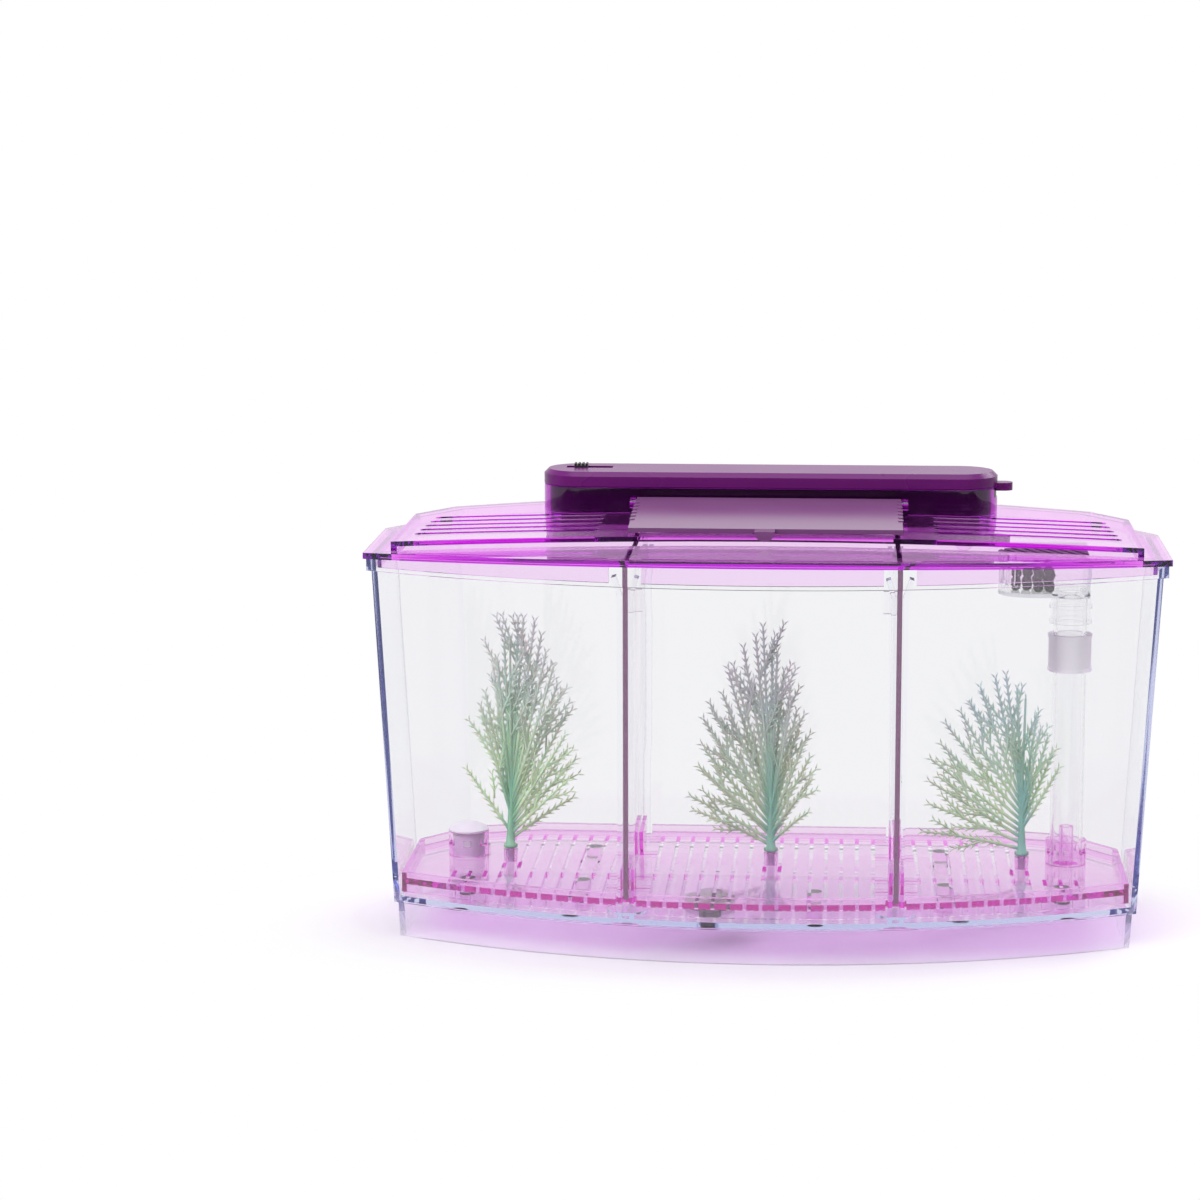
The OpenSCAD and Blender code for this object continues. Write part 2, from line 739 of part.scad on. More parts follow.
// Fronds climb the stem in a spiral; they lean out less towards the top. The stem can lean
// from the collar of its peg.
collar_t = 1.2;
module plant(h, n, turn, reach, lean = 0) {
    base = deck_z - 0.2;
    foot = base + cup_h + 0.8;
    stem = h * 0.62;
    color("darkseagreen") {
        translate([0, 0, base]) cylinder(d = peg_d, h = foot - base + 0.1);
        translate([0, 0, foot]) cylinder(d = cup_d, h = collar_t);
        translate([0, 0, foot + collar_t / 2]) rotate([0, lean, 0]) {
            cylinder(d1 = 2.8, d2 = 1.3, h = stem - cup_h, $fn = 8);
            for (i = [0:n - 1]) {
                t = i / (n - 1);
                frond(h * (0.08 + 0.46 * t), turn + i * 137.5,
                      reach * (1 - 0.72 * t), h * (0.46 - 0.07 * t), 0.7);
            }
        }
    }
}

module plant_left() { translate([-plant_x, plant_y, 0]) plant(plant_left_h, 12, 20, 30); }
module plant_middle() { translate([plant_mid_x, plant_y, 0]) plant(plant_mid_h, 13, 75, 36, 4); }
module plant_right() { translate([plant_x, plant_y, 0]) plant(plant_right_h, 12, 215, 31, -10); }

// ---------------------------------------------------------------- lid
platform_side = half_w - flange_side;
platform_front = front_corner_y + platform_back;
skirt_in = lid_over + wall_t + skirt_fit;

module platform_zone(inset, z0, z1) {
    intersection() {
        plan(inset, z0, z1);
        box(-platform_side + inset, platform_side - inset, platform_front + inset, far, z0, z1);
    }
}

module lid_layers() {
    z0 = flange_bottom - 1;
    z1 = platform_top + crown + 1;
    difference() {
        intersection() {
            plan(0, z0, z1);
            crown_layer(flange_bottom, flange_top);
        }
        platform_zone(platform_t, z0 - 1, z1 + 1);
    }
    intersection() {
        platform_zone(0, z0, z1);
        crown_layer(platform_top - platform_t, platform_top);
    }
    intersection() {
        difference() {
            platform_zone(0, z0, z1);
            platform_zone(platform_t, z0 - 1, z1 + 1);
        }
        crown_layer(flange_bottom, platform_top);
    }
}

// Locating skirt that drops inside the tank rim
module lid_skirt() {
    z0 = tank_h - skirt_h;
    z1 = platform_top + crown;
    difference() {
        intersection() {
            difference() {
                plan(skirt_in, z0, z1);
                plan(skirt_in + skirt_t, z0 - 1, z1 + 1);
            }
            union() {
                under_crown(flange_top - 0.4);
                intersection() {
                    under_crown(platform_top - 0.4);
                    platform_zone(platform_t - eps, z0 - 1, z1 + 1);
                }
            }
        }
        both_sides() box(divider_x - mouth_half, divider_x + mouth_half, -far / 2, far / 2,
                         0, flange_bottom);
        both_sides() box(divider_x - mouth_half, divider_x + mouth_half, -far / 2, far / 2,
                         0, divider_top + 0.5);
    }
}

module lamp_at(z) { translate([0, lamp_y, z]) children(); }

module turret() {
    difference() {
        lamp_at(well_z) stadium(lamp_l, lamp_w, turret_top - well_z);
        lamp_at(well_z + ledge_t)
            stadium(lamp_l - 2 * turret_t, lamp_w - 2 * turret_t, far);
        lamp_at(well_z - 1)
            stadium(lamp_l - 2 * turret_t - 2 * ledge_in, lamp_w - 2 * turret_t - 2 * ledge_in, far);
        // Notch for the cap's finger tab
        box(0, far, lamp_y - 3.6, lamp_y + 3.6, turret_top - 3.4, far);
    }
}

// Half-round pull that hangs from an edge
module half_disc(d, t) {
    intersection() {
        rotate([90, 0, 0]) cylinder(d = d, h = t, center = true);
        box(-d, d, -t, t, -d, 0);
    }
}

pull_x = hatch_w / 2 + 19;
vent_x0 = hatch_w / 2 + 12;
vent_x1 = platform_side - 8;
vent_rear_y = lamp_front_y - 1.6 - vent_w / 2;

module vent_slots() {
    for (i = [0:vents - 1]) {
        y = vent_rear_y - i * vent_pitch;
        shift = i * 0.6;
        for (x = [vent_x0, vent_x1 - 2 + shift]) translate([x, y, 0])
            cylinder(d = vent_w, h = far);
        box(vent_x0, vent_x1 - 2 + shift, y - vent_w / 2, y + vent_w / 2, 0, far);
    }
}

module hinge_lug() {
    x0 = hatch_w / 2 + lug_gap;
    difference() {
        union() {
            box(x0, x0 + lug_t, pin_y, lamp_front_y + 0.5, platform_top, pin_z + pin_d / 2 + 1);
            box(x0, x0 + lug_t, pin_y - pin_d / 2 - 1, pin_y + 0.1, platform_top, pin_z);
            translate([x0, pin_y, pin_z]) rotate([0, 90, 0]) cylinder(r = pin_d / 2 + 1, h = lug_t);
        }
        translate([x0 - 1, pin_y, pin_z]) rotate([0, 90, 0])
            cylinder(r = pin_d / 2 + pin_fit, h = lug_t + 2);
    }
}

module lid() {
    color("mediumorchid", 0.6) {
        difference() {
            union() {
                lid_layers();
                lid_skirt();
            }
            lamp_at(0) stadium(lamp_l - 1, lamp_w - 1, far);
            box(-hatch_w / 2 + hatch_lap, hatch_w / 2 - hatch_lap, hatch_front_y + hatch_lap,
                pin_y - 0.5, 0, far);
            both_sides() vent_slots();
        }
        turret();
        both_sides() hinge_lug();
        translate([pull_x, platform_front - 0.5, platform_top + crown_at(pull_x + 3) - 0.1])
            half_disc(5.6, 1.2);
    }
}

// ---------------------------------------------------------------- hatch
module hatch_profile(x0, x1, low, high) {
    translate([x0, 0, 0]) rotate([90, 0, 90]) linear_extrude(x1 - x0)
        polygon([[hatch_front_y, low[0]], [hatch_rear_y, low[1]],
                 [hatch_rear_y, high[1]], [hatch_front_y, high[0]]]);
}

module feeding_hatch() {
    w = hatch_w / 2;
    top = [hatch_z + hatch_t, hatch_z + hatch_rise + hatch_t];
    under = [hatch_z, hatch_z + hatch_rise];
    cheek_low = platform_top + crown_at(w - 2) + 0.35;
    color("rosybrown", 0.9) difference() {
        union() {
            hatch_profile(-w, w, under, top);
            both_sides() {
                intersection() {
                    hatch_profile(w - cheek_t, w, [cheek_low, cheek_low],
                                  [top[0] - 0.5, top[1] - 0.5]);
                    box(0, w + 1, -far / 2, pin_y + 0.8, 0, far);
                }
                intersection() {
                    for (i = [0:teeth - 1])
                        translate([w - 0.4, hatch_rear_y - 4.5 - i * hatch_len * 0.105, cheek_low])
                            cylinder(d = 2, h = 12, $fn = 24);
                    hatch_profile(w - 3, w + 3, [cheek_low, cheek_low], [top[0] + 0.3, top[1] + 0.3]);
                    box(0, w + 0.3, -far / 2, pin_y - 3, 0, far);
                }
                translate([w - 5, pin_y, pin_z]) rotate([0, 90, 0]) cylinder(d = barrel_d, h = 5);
            }
            hatch_pull();
        }
        both_sides() translate([w - 6, pin_y, pin_z]) rotate([0, 90, 0]) cylinder(d = pin_d, h = 8);
    }
}

// Finger pull: a short tongue over the platform's front edge that ends in a half-disc
pull_w = 6.4;
module hatch_pull() {
    lip_y = platform_front - 0.9;
    z = hatch_z + hatch_t;
    box(-pull_w / 2, pull_w / 2, lip_y - 0.6, hatch_front_y + 1, z - 1.1, z);
    translate([0, lip_y, z]) half_disc(pull_w, 1.2);
}

module hinge_pins() {
    color("silver") both_sides() translate([hatch_w / 2 - 5.5, pin_y, pin_z]) rotate([0, 90, 0])
        cylinder(d = pin_d, h = 5.5 + lug_gap + lug_t);
}

// ---------------------------------------------------------------- lamp
module lamp_body() {
    color("indigo") {
        difference() {
            union() {
                difference() {
                    lamp_at(body_z) stadium(body_l, body_w, body_top - body_z);
                    lamp_at(body_floor) stadium(body_l - 2 * tray_t, body_w - 2 * tray_t, far);
                    translate([board_shift, lamp_y, 0])
                        box(-window_l / 2, window_l / 2, -window_w / 2, window_w / 2, 0, far);
                }
                for (s = [-1, 1])
                    translate([board_shift + s * (board_l / 2 - 3.5), lamp_y, body_floor - eps])
                        cylinder(d = boss_d, h = board_z - body_floor);
                for (s = [-1, 1])
                    translate([switch_x + s * (switch_l / 2 - 1.6), switch_y, body_floor - eps])
                        cylinder(d = 3, h = switch_z - body_floor);
            }
            for (s = [-1, 1])
                translate([board_shift + s * (board_l / 2 - 3.5), lamp_y, body_floor + 0.2])
                    cylinder(d = screw_d, h = far);
            // Recess under the cap's finger tab
            box(body_l / 2 - 1.2, far, lamp_y - 3.6, lamp_y + 3.6, turret_top - 3.4, far);
        }
    }
}

module lamp_lens() {
    color("white", 0.6) translate([board_shift, lamp_y, 0]) {
        box(-window_l / 2 - 1.2, window_l / 2 + 1.2, -window_w / 2 - 1.2, window_w / 2 + 1.2,
            body_floor, body_floor + lens_t);
        box(-window_l / 2 + lens_gap, window_l / 2 - lens_gap,
            -window_w / 2 + lens_gap, window_w / 2 - lens_gap, body_z + 0.2, body_floor + eps);
    }
}

module led_board() {
    color("seagreen") translate([board_shift, lamp_y, board_z]) difference() {
        box(-board_l / 2, board_l / 2, -board_w / 2, board_w / 2, 0, board_t);
        for (s = [-1, 1]) translate([s * (board_l / 2 - 3.5), 0, -1])
            cylinder(d = screw_d + 0.4, h = board_t + 2);
    }
}

module leds() {
    pitch = (window_l - 14) / (led_n - 1);
    color("lightyellow") translate([board_shift, lamp_y, board_z - led_h])
        for (i = [0:led_n - 1]) translate([(i - (led_n - 1) / 2) * pitch, 0, 0]) {
            box(-1.75, 1.75, -1.4, 1.4, 0.3, led_h);
            cylinder(d = 2.2, h = 0.4, $fn = 24);
        }
}

// Round-headed screws with a cross slot
module board_screws() {
    color("silver") for (s = [-1, 1])
        translate([board_shift + s * (board_l / 2 - 3.5), lamp_y, 0]) difference() {
            union() {
                translate([0, 0, body_floor + 0.4])
                    cylinder(d = screw_d, h = board_z + board_t - body_floor - 0.3);
                translate([0, 0, board_z + board_t]) cylinder(d1 = 4, d2 = 3, h = 1.2);
            }
            for (a = [0, 90]) rotate([0, 0, a])
                translate([0, 0, board_z + board_t + 0.6]) box(-1.2, 1.2, -0.25, 0.25, 0, 2);
        }
}

module battery_tray() {
    l = holder_l;
    w = holder_w;
    color("black") translate([holder_x, lamp_y, holder_z]) difference() {
        box(-l / 2, l / 2, -w / 2, w / 2, 0, holder_h);
        box(-holder_in_l / 2, holder_in_l / 2, -w / 2 + holder_wall, w / 2 - holder_wall,
            tray_floor, far);
    }
}

// Dry cell with its button towards +X
module battery() {
    button = 1;
    rotate([0, 90, 0]) {
        cylinder(d = cell_d - 0.1, h = cell_l - button);
        cylinder(d = 3.8, h = cell_l);
    }
}

cell_x = holder_left + contact_t + spring_l + 0.1;
module battery_left() { color("goldenrod") translate([cell_x, lamp_y, cell_z]) battery(); }
module battery_right() {
    color("goldenrod") translate([cell_x + cell_l + 0.1, lamp_y, cell_z]) battery();
}

// Spring plate at the left end of the tray, flat plate at the right end
module battery_contacts() {
    color("silver") translate([0, lamp_y, cell_z]) {
        box(holder_left + 0.05, holder_left + contact_t, -4, 4, -4.2, 3);
        translate([holder_left + contact_t, 0, 0]) rotate([0, 90, 0])
            cylinder(d1 = 6.5, d2 = 4.5, h = spring_l);
        box(cell_x + 2 * cell_l + 0.2, cell_x + 2 * cell_l + 0.2 + contact_t - 0.2, -4, 4, -4.2, 3);
    }
}

module wire(points, d) {
    for (i = [0:len(points) - 2]) hull() {
        translate(points[i]) sphere(d = d, $fn = 8);
        translate(points[i + 1]) sphere(d = d, $fn = 8);
    }
}

// Thin leads from the switch and the tray down to the board
module lamp_wires() {
    d = 0.9;
    side = holder_w / 2 + 0.9;
    x_end = holder_x + holder_l / 2 + 0.8;
    color("firebrick") {
        translate([0, lamp_y, 0]) wire([[switch_x + switch_l / 2 + 0.6, 2, switch_z + 1.5],
            [holder_x - holder_l / 2 - 2.4, 2, switch_z + 1.5],
            [holder_x - holder_l / 2 - 2.4, 2, holder_z + 1.2]], d);
        translate([0, lamp_y, 0]) wire([[x_end, 0, cell_z], [x_end + 1, 3.4, cell_z - 1.5],
            [x_end + 1, 3.4, board_z + board_t + 0.6]], d);
    }
}

module switch_body() {
    color("black") translate([switch_x, switch_y, switch_z]) difference() {
        box(-switch_l / 2, switch_l / 2, -switch_w / 2, switch_w / 2, 0, switch_h);
        box(-switch_l / 2 + 1, switch_l / 2 - 1, -1.4, 1.4, switch_h - 1.6, far);
    }
}

module switch_knob() {
    low = switch_z + switch_h + 0.2;
    top = lamp_top_z + 1.3;
    w = switch_slot_w - 0.8;
    color("black") translate([knob_x, switch_y, 0]) difference() {
        union() {
            box(-knob_l / 2, knob_l / 2, -w / 2, w / 2, low, top);
            box(-knob_l / 2 + 0.6, knob_l / 2 - 0.6, -1.1, 1.1, switch_z + switch_h - 1.3, low + eps);
        }
        for (x = [-1.3, 0, 1.3]) box(x - 0.3, x + 0.3, -far, far, top - 0.6, far);
    }
}

module lamp_cap() {
    color("purple") {
        difference() {
            lamp_at(cap_z) stadium(lamp_l, lamp_w, cap_h, cap_bevel);
            lamp_at(cap_z - 1) stadium(body_l + 0.6, body_w + 0.6, body_top - cap_z + 1.1);
            lamp_at(cap_z)
                stadium(body_l - 2 * tray_t + 0.2, body_w - 2 * tray_t + 0.2, cap_h - cap_t);
            box(switch_x - switch_slot / 2, switch_x + switch_slot / 2,
                switch_y - switch_slot_w / 2, switch_y + switch_slot_w / 2, 0, far);
        }
        // Finger tab at the right end
        translate([lamp_l / 2, lamp_y, cap_z - 1.6]) {
            box(-1.4, 2, -3, 3, 0, 2.6);
            translate([2, 0, 0]) cylinder(d = 6, h = 2.6);
        }
    }
}

tank_shell();
drain_plug();
filter_plate();
divider_left();
divider_right();
uplift_tube();
tube_sleeve();
cartridge_case();
cartridge_lid();
carbon_grains();
port_cap();
plant_left();
plant_middle();
plant_right();
lid();
feeding_hatch();
hinge_pins();
lamp_body();
lamp_lens();
led_board();
leds();
board_screws();
battery_tray();
battery_left();
battery_right();
battery_contacts();
lamp_wires();
switch_body();
switch_knob();
lamp_cap();
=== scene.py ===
# %% [markdown]
# # A fish breeding box in tinted clear plastic
# The box is a small aquarium: a clear tank with a bowed front, a violet filter plate, two
# lift-out dividers, three soft plants, and a violet lid with a feeding hatch and a lamp.
# Almost all of it is seen through something else, so the lesson is about clear plastic:
# where its colour comes from, why its edges are dark, and what it needs behind it.
#
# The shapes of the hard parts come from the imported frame. This file gives them their
# finish, and it makes the three plants in full detail.

import math
import random

import bpy
from mathutils import Matrix, Vector


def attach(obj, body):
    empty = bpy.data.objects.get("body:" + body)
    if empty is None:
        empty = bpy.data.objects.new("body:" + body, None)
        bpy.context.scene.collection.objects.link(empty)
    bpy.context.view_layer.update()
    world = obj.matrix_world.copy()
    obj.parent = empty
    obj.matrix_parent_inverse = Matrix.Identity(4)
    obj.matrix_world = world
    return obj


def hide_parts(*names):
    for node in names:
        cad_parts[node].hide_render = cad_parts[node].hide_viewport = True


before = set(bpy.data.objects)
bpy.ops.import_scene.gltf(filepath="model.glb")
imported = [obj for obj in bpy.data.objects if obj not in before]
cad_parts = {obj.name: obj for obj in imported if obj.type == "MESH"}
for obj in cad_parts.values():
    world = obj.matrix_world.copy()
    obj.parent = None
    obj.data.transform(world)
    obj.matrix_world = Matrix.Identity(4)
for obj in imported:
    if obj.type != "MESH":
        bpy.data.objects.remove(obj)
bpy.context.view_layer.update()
MM = 0.001

# %% [markdown]
# ## Camera
# A long lens from about 1.1 m, a little above the lid and a little right of the middle,
# turned slightly to the left. The distance and the lens follow from how the bowed front
# and the cut rear corners line up in the picture; the frame has room on its left and top.

# %% Camera
CAMERA_AT = Vector((26.6, -1101.3, 290.2)) * MM
CAMERA_YAW = 0.0730
CAMERA_PITCH = -0.1648
CAMERA_ROLL = -0.0018
CAMERA_LENS = 103.4
CAMERA_SENSOR = 36
CAMERA_REACH = 20


def camera_matrix(place, yaw, pitch, roll):
    """Blender's cameras look along their own -Z, with +Y up."""
    forward = Vector(
        (-math.sin(yaw) * math.cos(pitch), math.cos(yaw) * math.cos(pitch), math.sin(pitch))
    )
    right = Vector((math.cos(yaw), math.sin(yaw), 0))
    up = right.cross(forward)
    level_right = right * math.cos(roll) + up * math.sin(roll)
    level_up = up * math.cos(roll) - right * math.sin(roll)
    turn = Matrix((level_right, level_up, -forward)).transposed()
    return Matrix.Translation(place) @ turn.to_4x4()


scene = bpy.context.scene
camera_data = bpy.data.cameras.new("camera")
camera_data.lens = CAMERA_LENS
camera_data.sensor_width = CAMERA_SENSOR
camera_data.clip_end = CAMERA_REACH
camera = bpy.data.objects.new("camera", camera_data)
camera.matrix_world = camera_matrix(CAMERA_AT, CAMERA_YAW, CAMERA_PITCH, CAMERA_ROLL)
scene.collection.objects.link(camera)
scene.camera = camera
print("camera", [round(c, 3) for c in camera.location])

# %% [markdown]
# ## Studio
# Clear plastic shows what is behind it, so the backdrop matters more than the lamps. The
# camera sees plain white all round. Mirror rays and rays through the plastic see a room
# that is white behind the object and above it, greyer at the sides and dark behind the
# camera, so that the front faces keep their own colour. Every other ray sees a plain grey,
# so the white never adds light. A photograph of a room could do the same, but a few nodes
# need no image and can be tuned one direction at a time.

# %% Colour handling and bounces
scene.view_settings.view_transform = "Standard"
# Light runs along inside a thin wall for many bounces before it leaves at an edge
WALL_BOUNCES = 56
scene.cycles.max_bounces = WALL_BOUNCES
scene.cycles.transmission_bounces = WALL_BOUNCES
scene.cycles.transparent_max_bounces = WALL_BOUNCES
scene.cycles.glossy_bounces = WALL_BOUNCES
print("bounces", WALL_BOUNCES)

# %% Node helpers and the rays that see the backdrop
BEFORE_FIRST_BOUNCE = 0.5  # between a diffuse depth of 0 and one of 1


def combine(nodes, links, operation, *values):
    """One Math node; each value is a socket or a number."""
    node = nodes.new("ShaderNodeMath")
    node.operation = operation
    for socket, value in zip(node.inputs, values):
        if isinstance(value, (int, float)):
            socket.default_value = value
        else:
            links.new(value, socket)
    return node.outputs[0]


def level(nodes, links, value, start, end, low, high):
    """A smooth step of value from start..end to low..high."""
    ranged = nodes.new("ShaderNodeMapRange")
    ranged.interpolation_type = "SMOOTHSTEP"
    settings = {"From Min": start, "From Max": end, "To Min": low, "To Max": high}
    for label, number in settings.items():
        ranged.inputs[label].default_value = number
    links.new(value, ranged.inputs["Value"])
    return ranged.outputs[0]


def seen_rays(nodes, links):
    """1 for rays that show the backdrop: from the camera, from a mirror, through plastic.

    A ray that left a dull surface lights that surface, even if it then went through the
    plastic, so it counts only while its diffuse depth is 0.
    """
    path = nodes.new("ShaderNodeLightPath")
    total = path.outputs["Is Camera Ray"]
    for name in ("Is Glossy Ray", "Is Transmission Ray"):
        total = combine(nodes, links, "MAXIMUM", total, path.outputs[name])
    depth = path.outputs["Diffuse Depth"]
    first = combine(nodes, links, "LESS_THAN", depth, BEFORE_FIRST_BOUNCE)
    return combine(nodes, links, "MULTIPLY", total, first)


print("a ray shows the backdrop while its diffuse depth is under", BEFORE_FIRST_BOUNCE)

# %% World
FILL_LEVEL = 0.55
SIDE_LEVEL = 0.7
MIRROR_LEVEL = 0.08
THROUGH_LEVEL = 0.5
# Parts of the ray's direction, from -1 to 1, between which the room changes
SIDE_FADE = (0.45, 1.0)
FRONT_FADE = (-0.75, -0.1)


def room_level(nodes, links):
    """How white the room is in the ray's own direction.

    Rays that leave the plastic after running along inside it see a paler front than mirror
    rays do, so the plastic's edges aren't black. The camera sees white everywhere.
    """
    path = nodes.new("ShaderNodeLightPath")
    split = nodes.new("ShaderNodeSeparateXYZ")
    links.new(nodes.new("ShaderNodeTexCoord").outputs["Generated"], split.inputs[0])
    side = combine(nodes, links, "ABSOLUTE", split.outputs["X"])
    side_level = level(nodes, links, side, *SIDE_FADE, 1.0, SIDE_LEVEL)
    mirror = level(nodes, links, split.outputs["Y"], *FRONT_FADE, MIRROR_LEVEL, 1.0)
    through = level(nodes, links, split.outputs["Y"], *FRONT_FADE, THROUGH_LEVEL, 1.0)
    gap = combine(nodes, links, "SUBTRACT", through, mirror)
    leaves_plastic = path.outputs["Is Transmission Ray"]
    near_level = combine(nodes, links, "MULTIPLY_ADD", gap, leaves_plastic, mirror)
    both = combine(nodes, links, "MULTIPLY", side_level, near_level)
    return combine(nodes, links, "MAXIMUM", both, path.outputs["Is Camera Ray"])


def mix_shaders(nodes, links, factor, first, second):
    mix = nodes.new("ShaderNodeMixShader")
    for socket, source in zip(mix.inputs, (factor, first, second)):
        links.new(source, socket)
    return mix.outputs[0]


def make_world():
    world = bpy.data.worlds.new("studio")
    world.use_nodes = True
    nodes, links = world.node_tree.nodes, world.node_tree.links
    nodes.clear()
    fill = nodes.new("ShaderNodeBackground")
    fill.inputs["Strength"].default_value = FILL_LEVEL
    white = nodes.new("ShaderNodeBackground")
    links.new(room_level(nodes, links), white.inputs["Color"])
    seen = seen_rays(nodes, links)
    both = mix_shaders(nodes, links, seen, fill.outputs[0], white.outputs[0])
    links.new(both, nodes.new("ShaderNodeOutputWorld").inputs["Surface"])
    scene.world = world
    print("world nodes", len(nodes))


make_world()

# %% [markdown]
# The floor is one large sheet. Close to the object it is a plain pale surface that takes a
# soft shadow. Further out it fades into the white of the backdrop, so no horizon shows. The
# fade follows an ellipse about as wide and as deep as the box.

# %% Floor
FLOOR_SIZE = 6.0
# About half of the box's width and depth
HALF_SIZES = (0.127, 0.062)
# Where the fade starts and ends, as a multiple of the half sizes
FLOOR_FADE = (1.0, 1.5)
PAPER = (0.86, 0.86, 0.865)
PAPER_ROUGHNESS = 0.9
PAPER_GLOSS = 0.1


def new_material(name):
    """A material with its nodes, its links and its main shader."""
    mat = bpy.data.materials.new(name)
    mat.use_nodes = True
    nodes, links = mat.node_tree.nodes, mat.node_tree.links
    return mat, nodes, links, nodes["Principled BSDF"]


def half_sizes_out(nodes, links):
    """How far a point of the floor is from the middle, as a multiple of the half sizes."""
    share_of_box = nodes.new("ShaderNodeVectorMath")
    share_of_box.operation = "DIVIDE"
    share_of_box.inputs[1].default_value = (*HALF_SIZES, 1)
    links.new(nodes.new("ShaderNodeTexCoord").outputs["Object"], share_of_box.inputs[0])
    reach = nodes.new("ShaderNodeVectorMath")
    reach.operation = "LENGTH"
    links.new(share_of_box.outputs[0], reach.inputs[0])
    return reach.outputs["Value"]


def floor_paper():
    mat, nodes, links, paper = new_material("floor_paper")
    paper.inputs["Base Color"].default_value = (*PAPER, 1)
    paper.inputs["Roughness"].default_value = PAPER_ROUGHNESS
    paper.inputs["Specular IOR Level"].default_value = PAPER_GLOSS
    white = nodes.new("ShaderNodeEmission")
    fade = level(nodes, links, half_sizes_out(nodes, links), *FLOOR_FADE, 0.0, 1.0)
    share = combine(nodes, links, "MULTIPLY", fade, seen_rays(nodes, links))
    both = mix_shaders(nodes, links, share, paper.outputs[0], white.outputs[0])
    links.new(both, nodes["Material Output"].inputs["Surface"])
    return mat


def make_floor():
    mesh = bpy.data.meshes.new("floor")
    h = FLOOR_SIZE / 2
    mesh.from_pydata([(-h, -h, 0), (h, -h, 0), (h, h, 0), (-h, h, 0)], [], [(0, 1, 2, 3)])
    mesh.materials.append(floor_paper())
    floor = bpy.data.objects.new("floor", mesh)
    scene.collection.objects.link(floor)
    print("floor", FLOOR_SIZE, "m wide")


make_floor()

# %% [markdown]
# ## Lamps
# Three large soft panels at a plain level: a key from above the left of the camera, a weaker
# one from behind on the right, and one straight above. Large panels give the soft, short
# shadows of a product picture, and a small lamp would leave hard streaks on the lid.

# %% Lamps
PANELS = {
    "key_panel": {"at": (-0.7, -0.9, 1.15), "aim": (0, 0, 0.08), "size": (0.9, 0.7), "watts": 12},
    "back_panel": {"at": (0.8, 0.7, 0.9), "aim": (0, 0, 0.1), "size": (0.8, 0.5), "watts": 6},
    "top_panel": {"at": (0, 0, 1.2), "aim": (0, 0, 0), "size": (1.0, 0.8), "watts": 6},
}
for name, panel in PANELS.items():
    panel_data = bpy.data.lights.new(name, "AREA")
    panel_data.shape = "RECTANGLE"
    panel_data.size, panel_data.size_y = panel["size"]
    panel_data.energy = panel["watts"]
    lamp = bpy.data.objects.new(name, panel_data)
    lamp.location = panel["at"]
    way = Vector(panel["aim"]) - Vector(panel["at"])
    lamp.rotation_euler = way.to_track_quat("-Z", "Y").to_euler()
    scene.collection.objects.link(lamp)
print("panels", len(PANELS), "watts", sum(panel["watts"] for panel in PANELS.values()))

# %% [markdown]
# ## Shared surface effects
# Moulded plastic is never perfectly even. Clear mouldings have a faint waviness from the way
# the melt flowed, and a haze of tiny scratches. Opaque ones have the fine grain of a
# spark-eroded mould, and slightly lighter and darker patches. Each effect is one node group
# that puts out values from 0 to 1, so every material can place it with its own strength.

# %% Helpers for node groups


def new_group(name, inputs, outputs):
    """A shader group with named number inputs and number outputs."""
    group = bpy.data.node_groups.new(name, "ShaderNodeTree")
    for label, value in inputs.items():
        socket = group.interface.new_socket(
            label, in_out="INPUT", socket_type="NodeSocketFloat"
        )
        socket.default_value = value
    for label in outputs:
        group.interface.new_socket(label, in_out="OUTPUT", socket_type="NodeSocketFloat")
    return group, group.nodes, group.links


def noise(nodes, links, vector, scale, detail=2.0, roughness=0.5):
    """A noise from 0 to 1; its scale is a number or a socket."""
    tex = nodes.new("ShaderNodeTexNoise")
    tex.inputs["Detail"].default_value = detail
    tex.inputs["Roughness"].default_value = roughness
    links.new(vector, tex.inputs["Vector"])
    if isinstance(scale, (int, float)):
        tex.inputs["Scale"].default_value = scale
    else:
        links.new(scale, tex.inputs["Scale"])
    return tex.outputs["Fac"]


def place_group(nodes, group, **values):
    """One copy of a group in a material; grain_scale=2 sets its input Grain Scale."""
    node = nodes.new("ShaderNodeGroup")
    node.node_tree = group
    for name, value in values.items():
        node.inputs[name.replace("_", " ").title()].default_value = value
    return node


# %% The two groups
WAVE_SCALE, HAZE_SCALE, HAZE_PATCH_SCALE = 26.0, 900.0, 38.0
GRAIN_SCALE, TONE_SCALE, METAL_GRAIN_SCALE = 1400.0, 30.0, 2500.0


def make_moulded_group():
    """Height of the melt's waviness, and a haze from wear, both from 0 to 1."""
    group, nodes, links = new_group(
        "moulded_surface",
        {"Wave Scale": WAVE_SCALE, "Haze Scale": HAZE_SCALE},
        ("Height", "Haze"),
    )
    given, result = nodes.new("NodeGroupInput"), nodes.new("NodeGroupOutput")
    place = nodes.new("ShaderNodeTexCoord").outputs["Object"]
    wave = noise(nodes, links, place, given.outputs["Wave Scale"], detail=1.0)
    haze_scale = given.outputs["Haze Scale"]
    fine = noise(nodes, links, place, haze_scale, detail=3.0, roughness=0.6)
    patch = noise(nodes, links, place, HAZE_PATCH_SCALE)
    haze = combine(nodes, links, "MULTIPLY", fine, patch)
    links.new(wave, result.inputs["Height"])
    links.new(haze, result.inputs["Haze"])
    return group


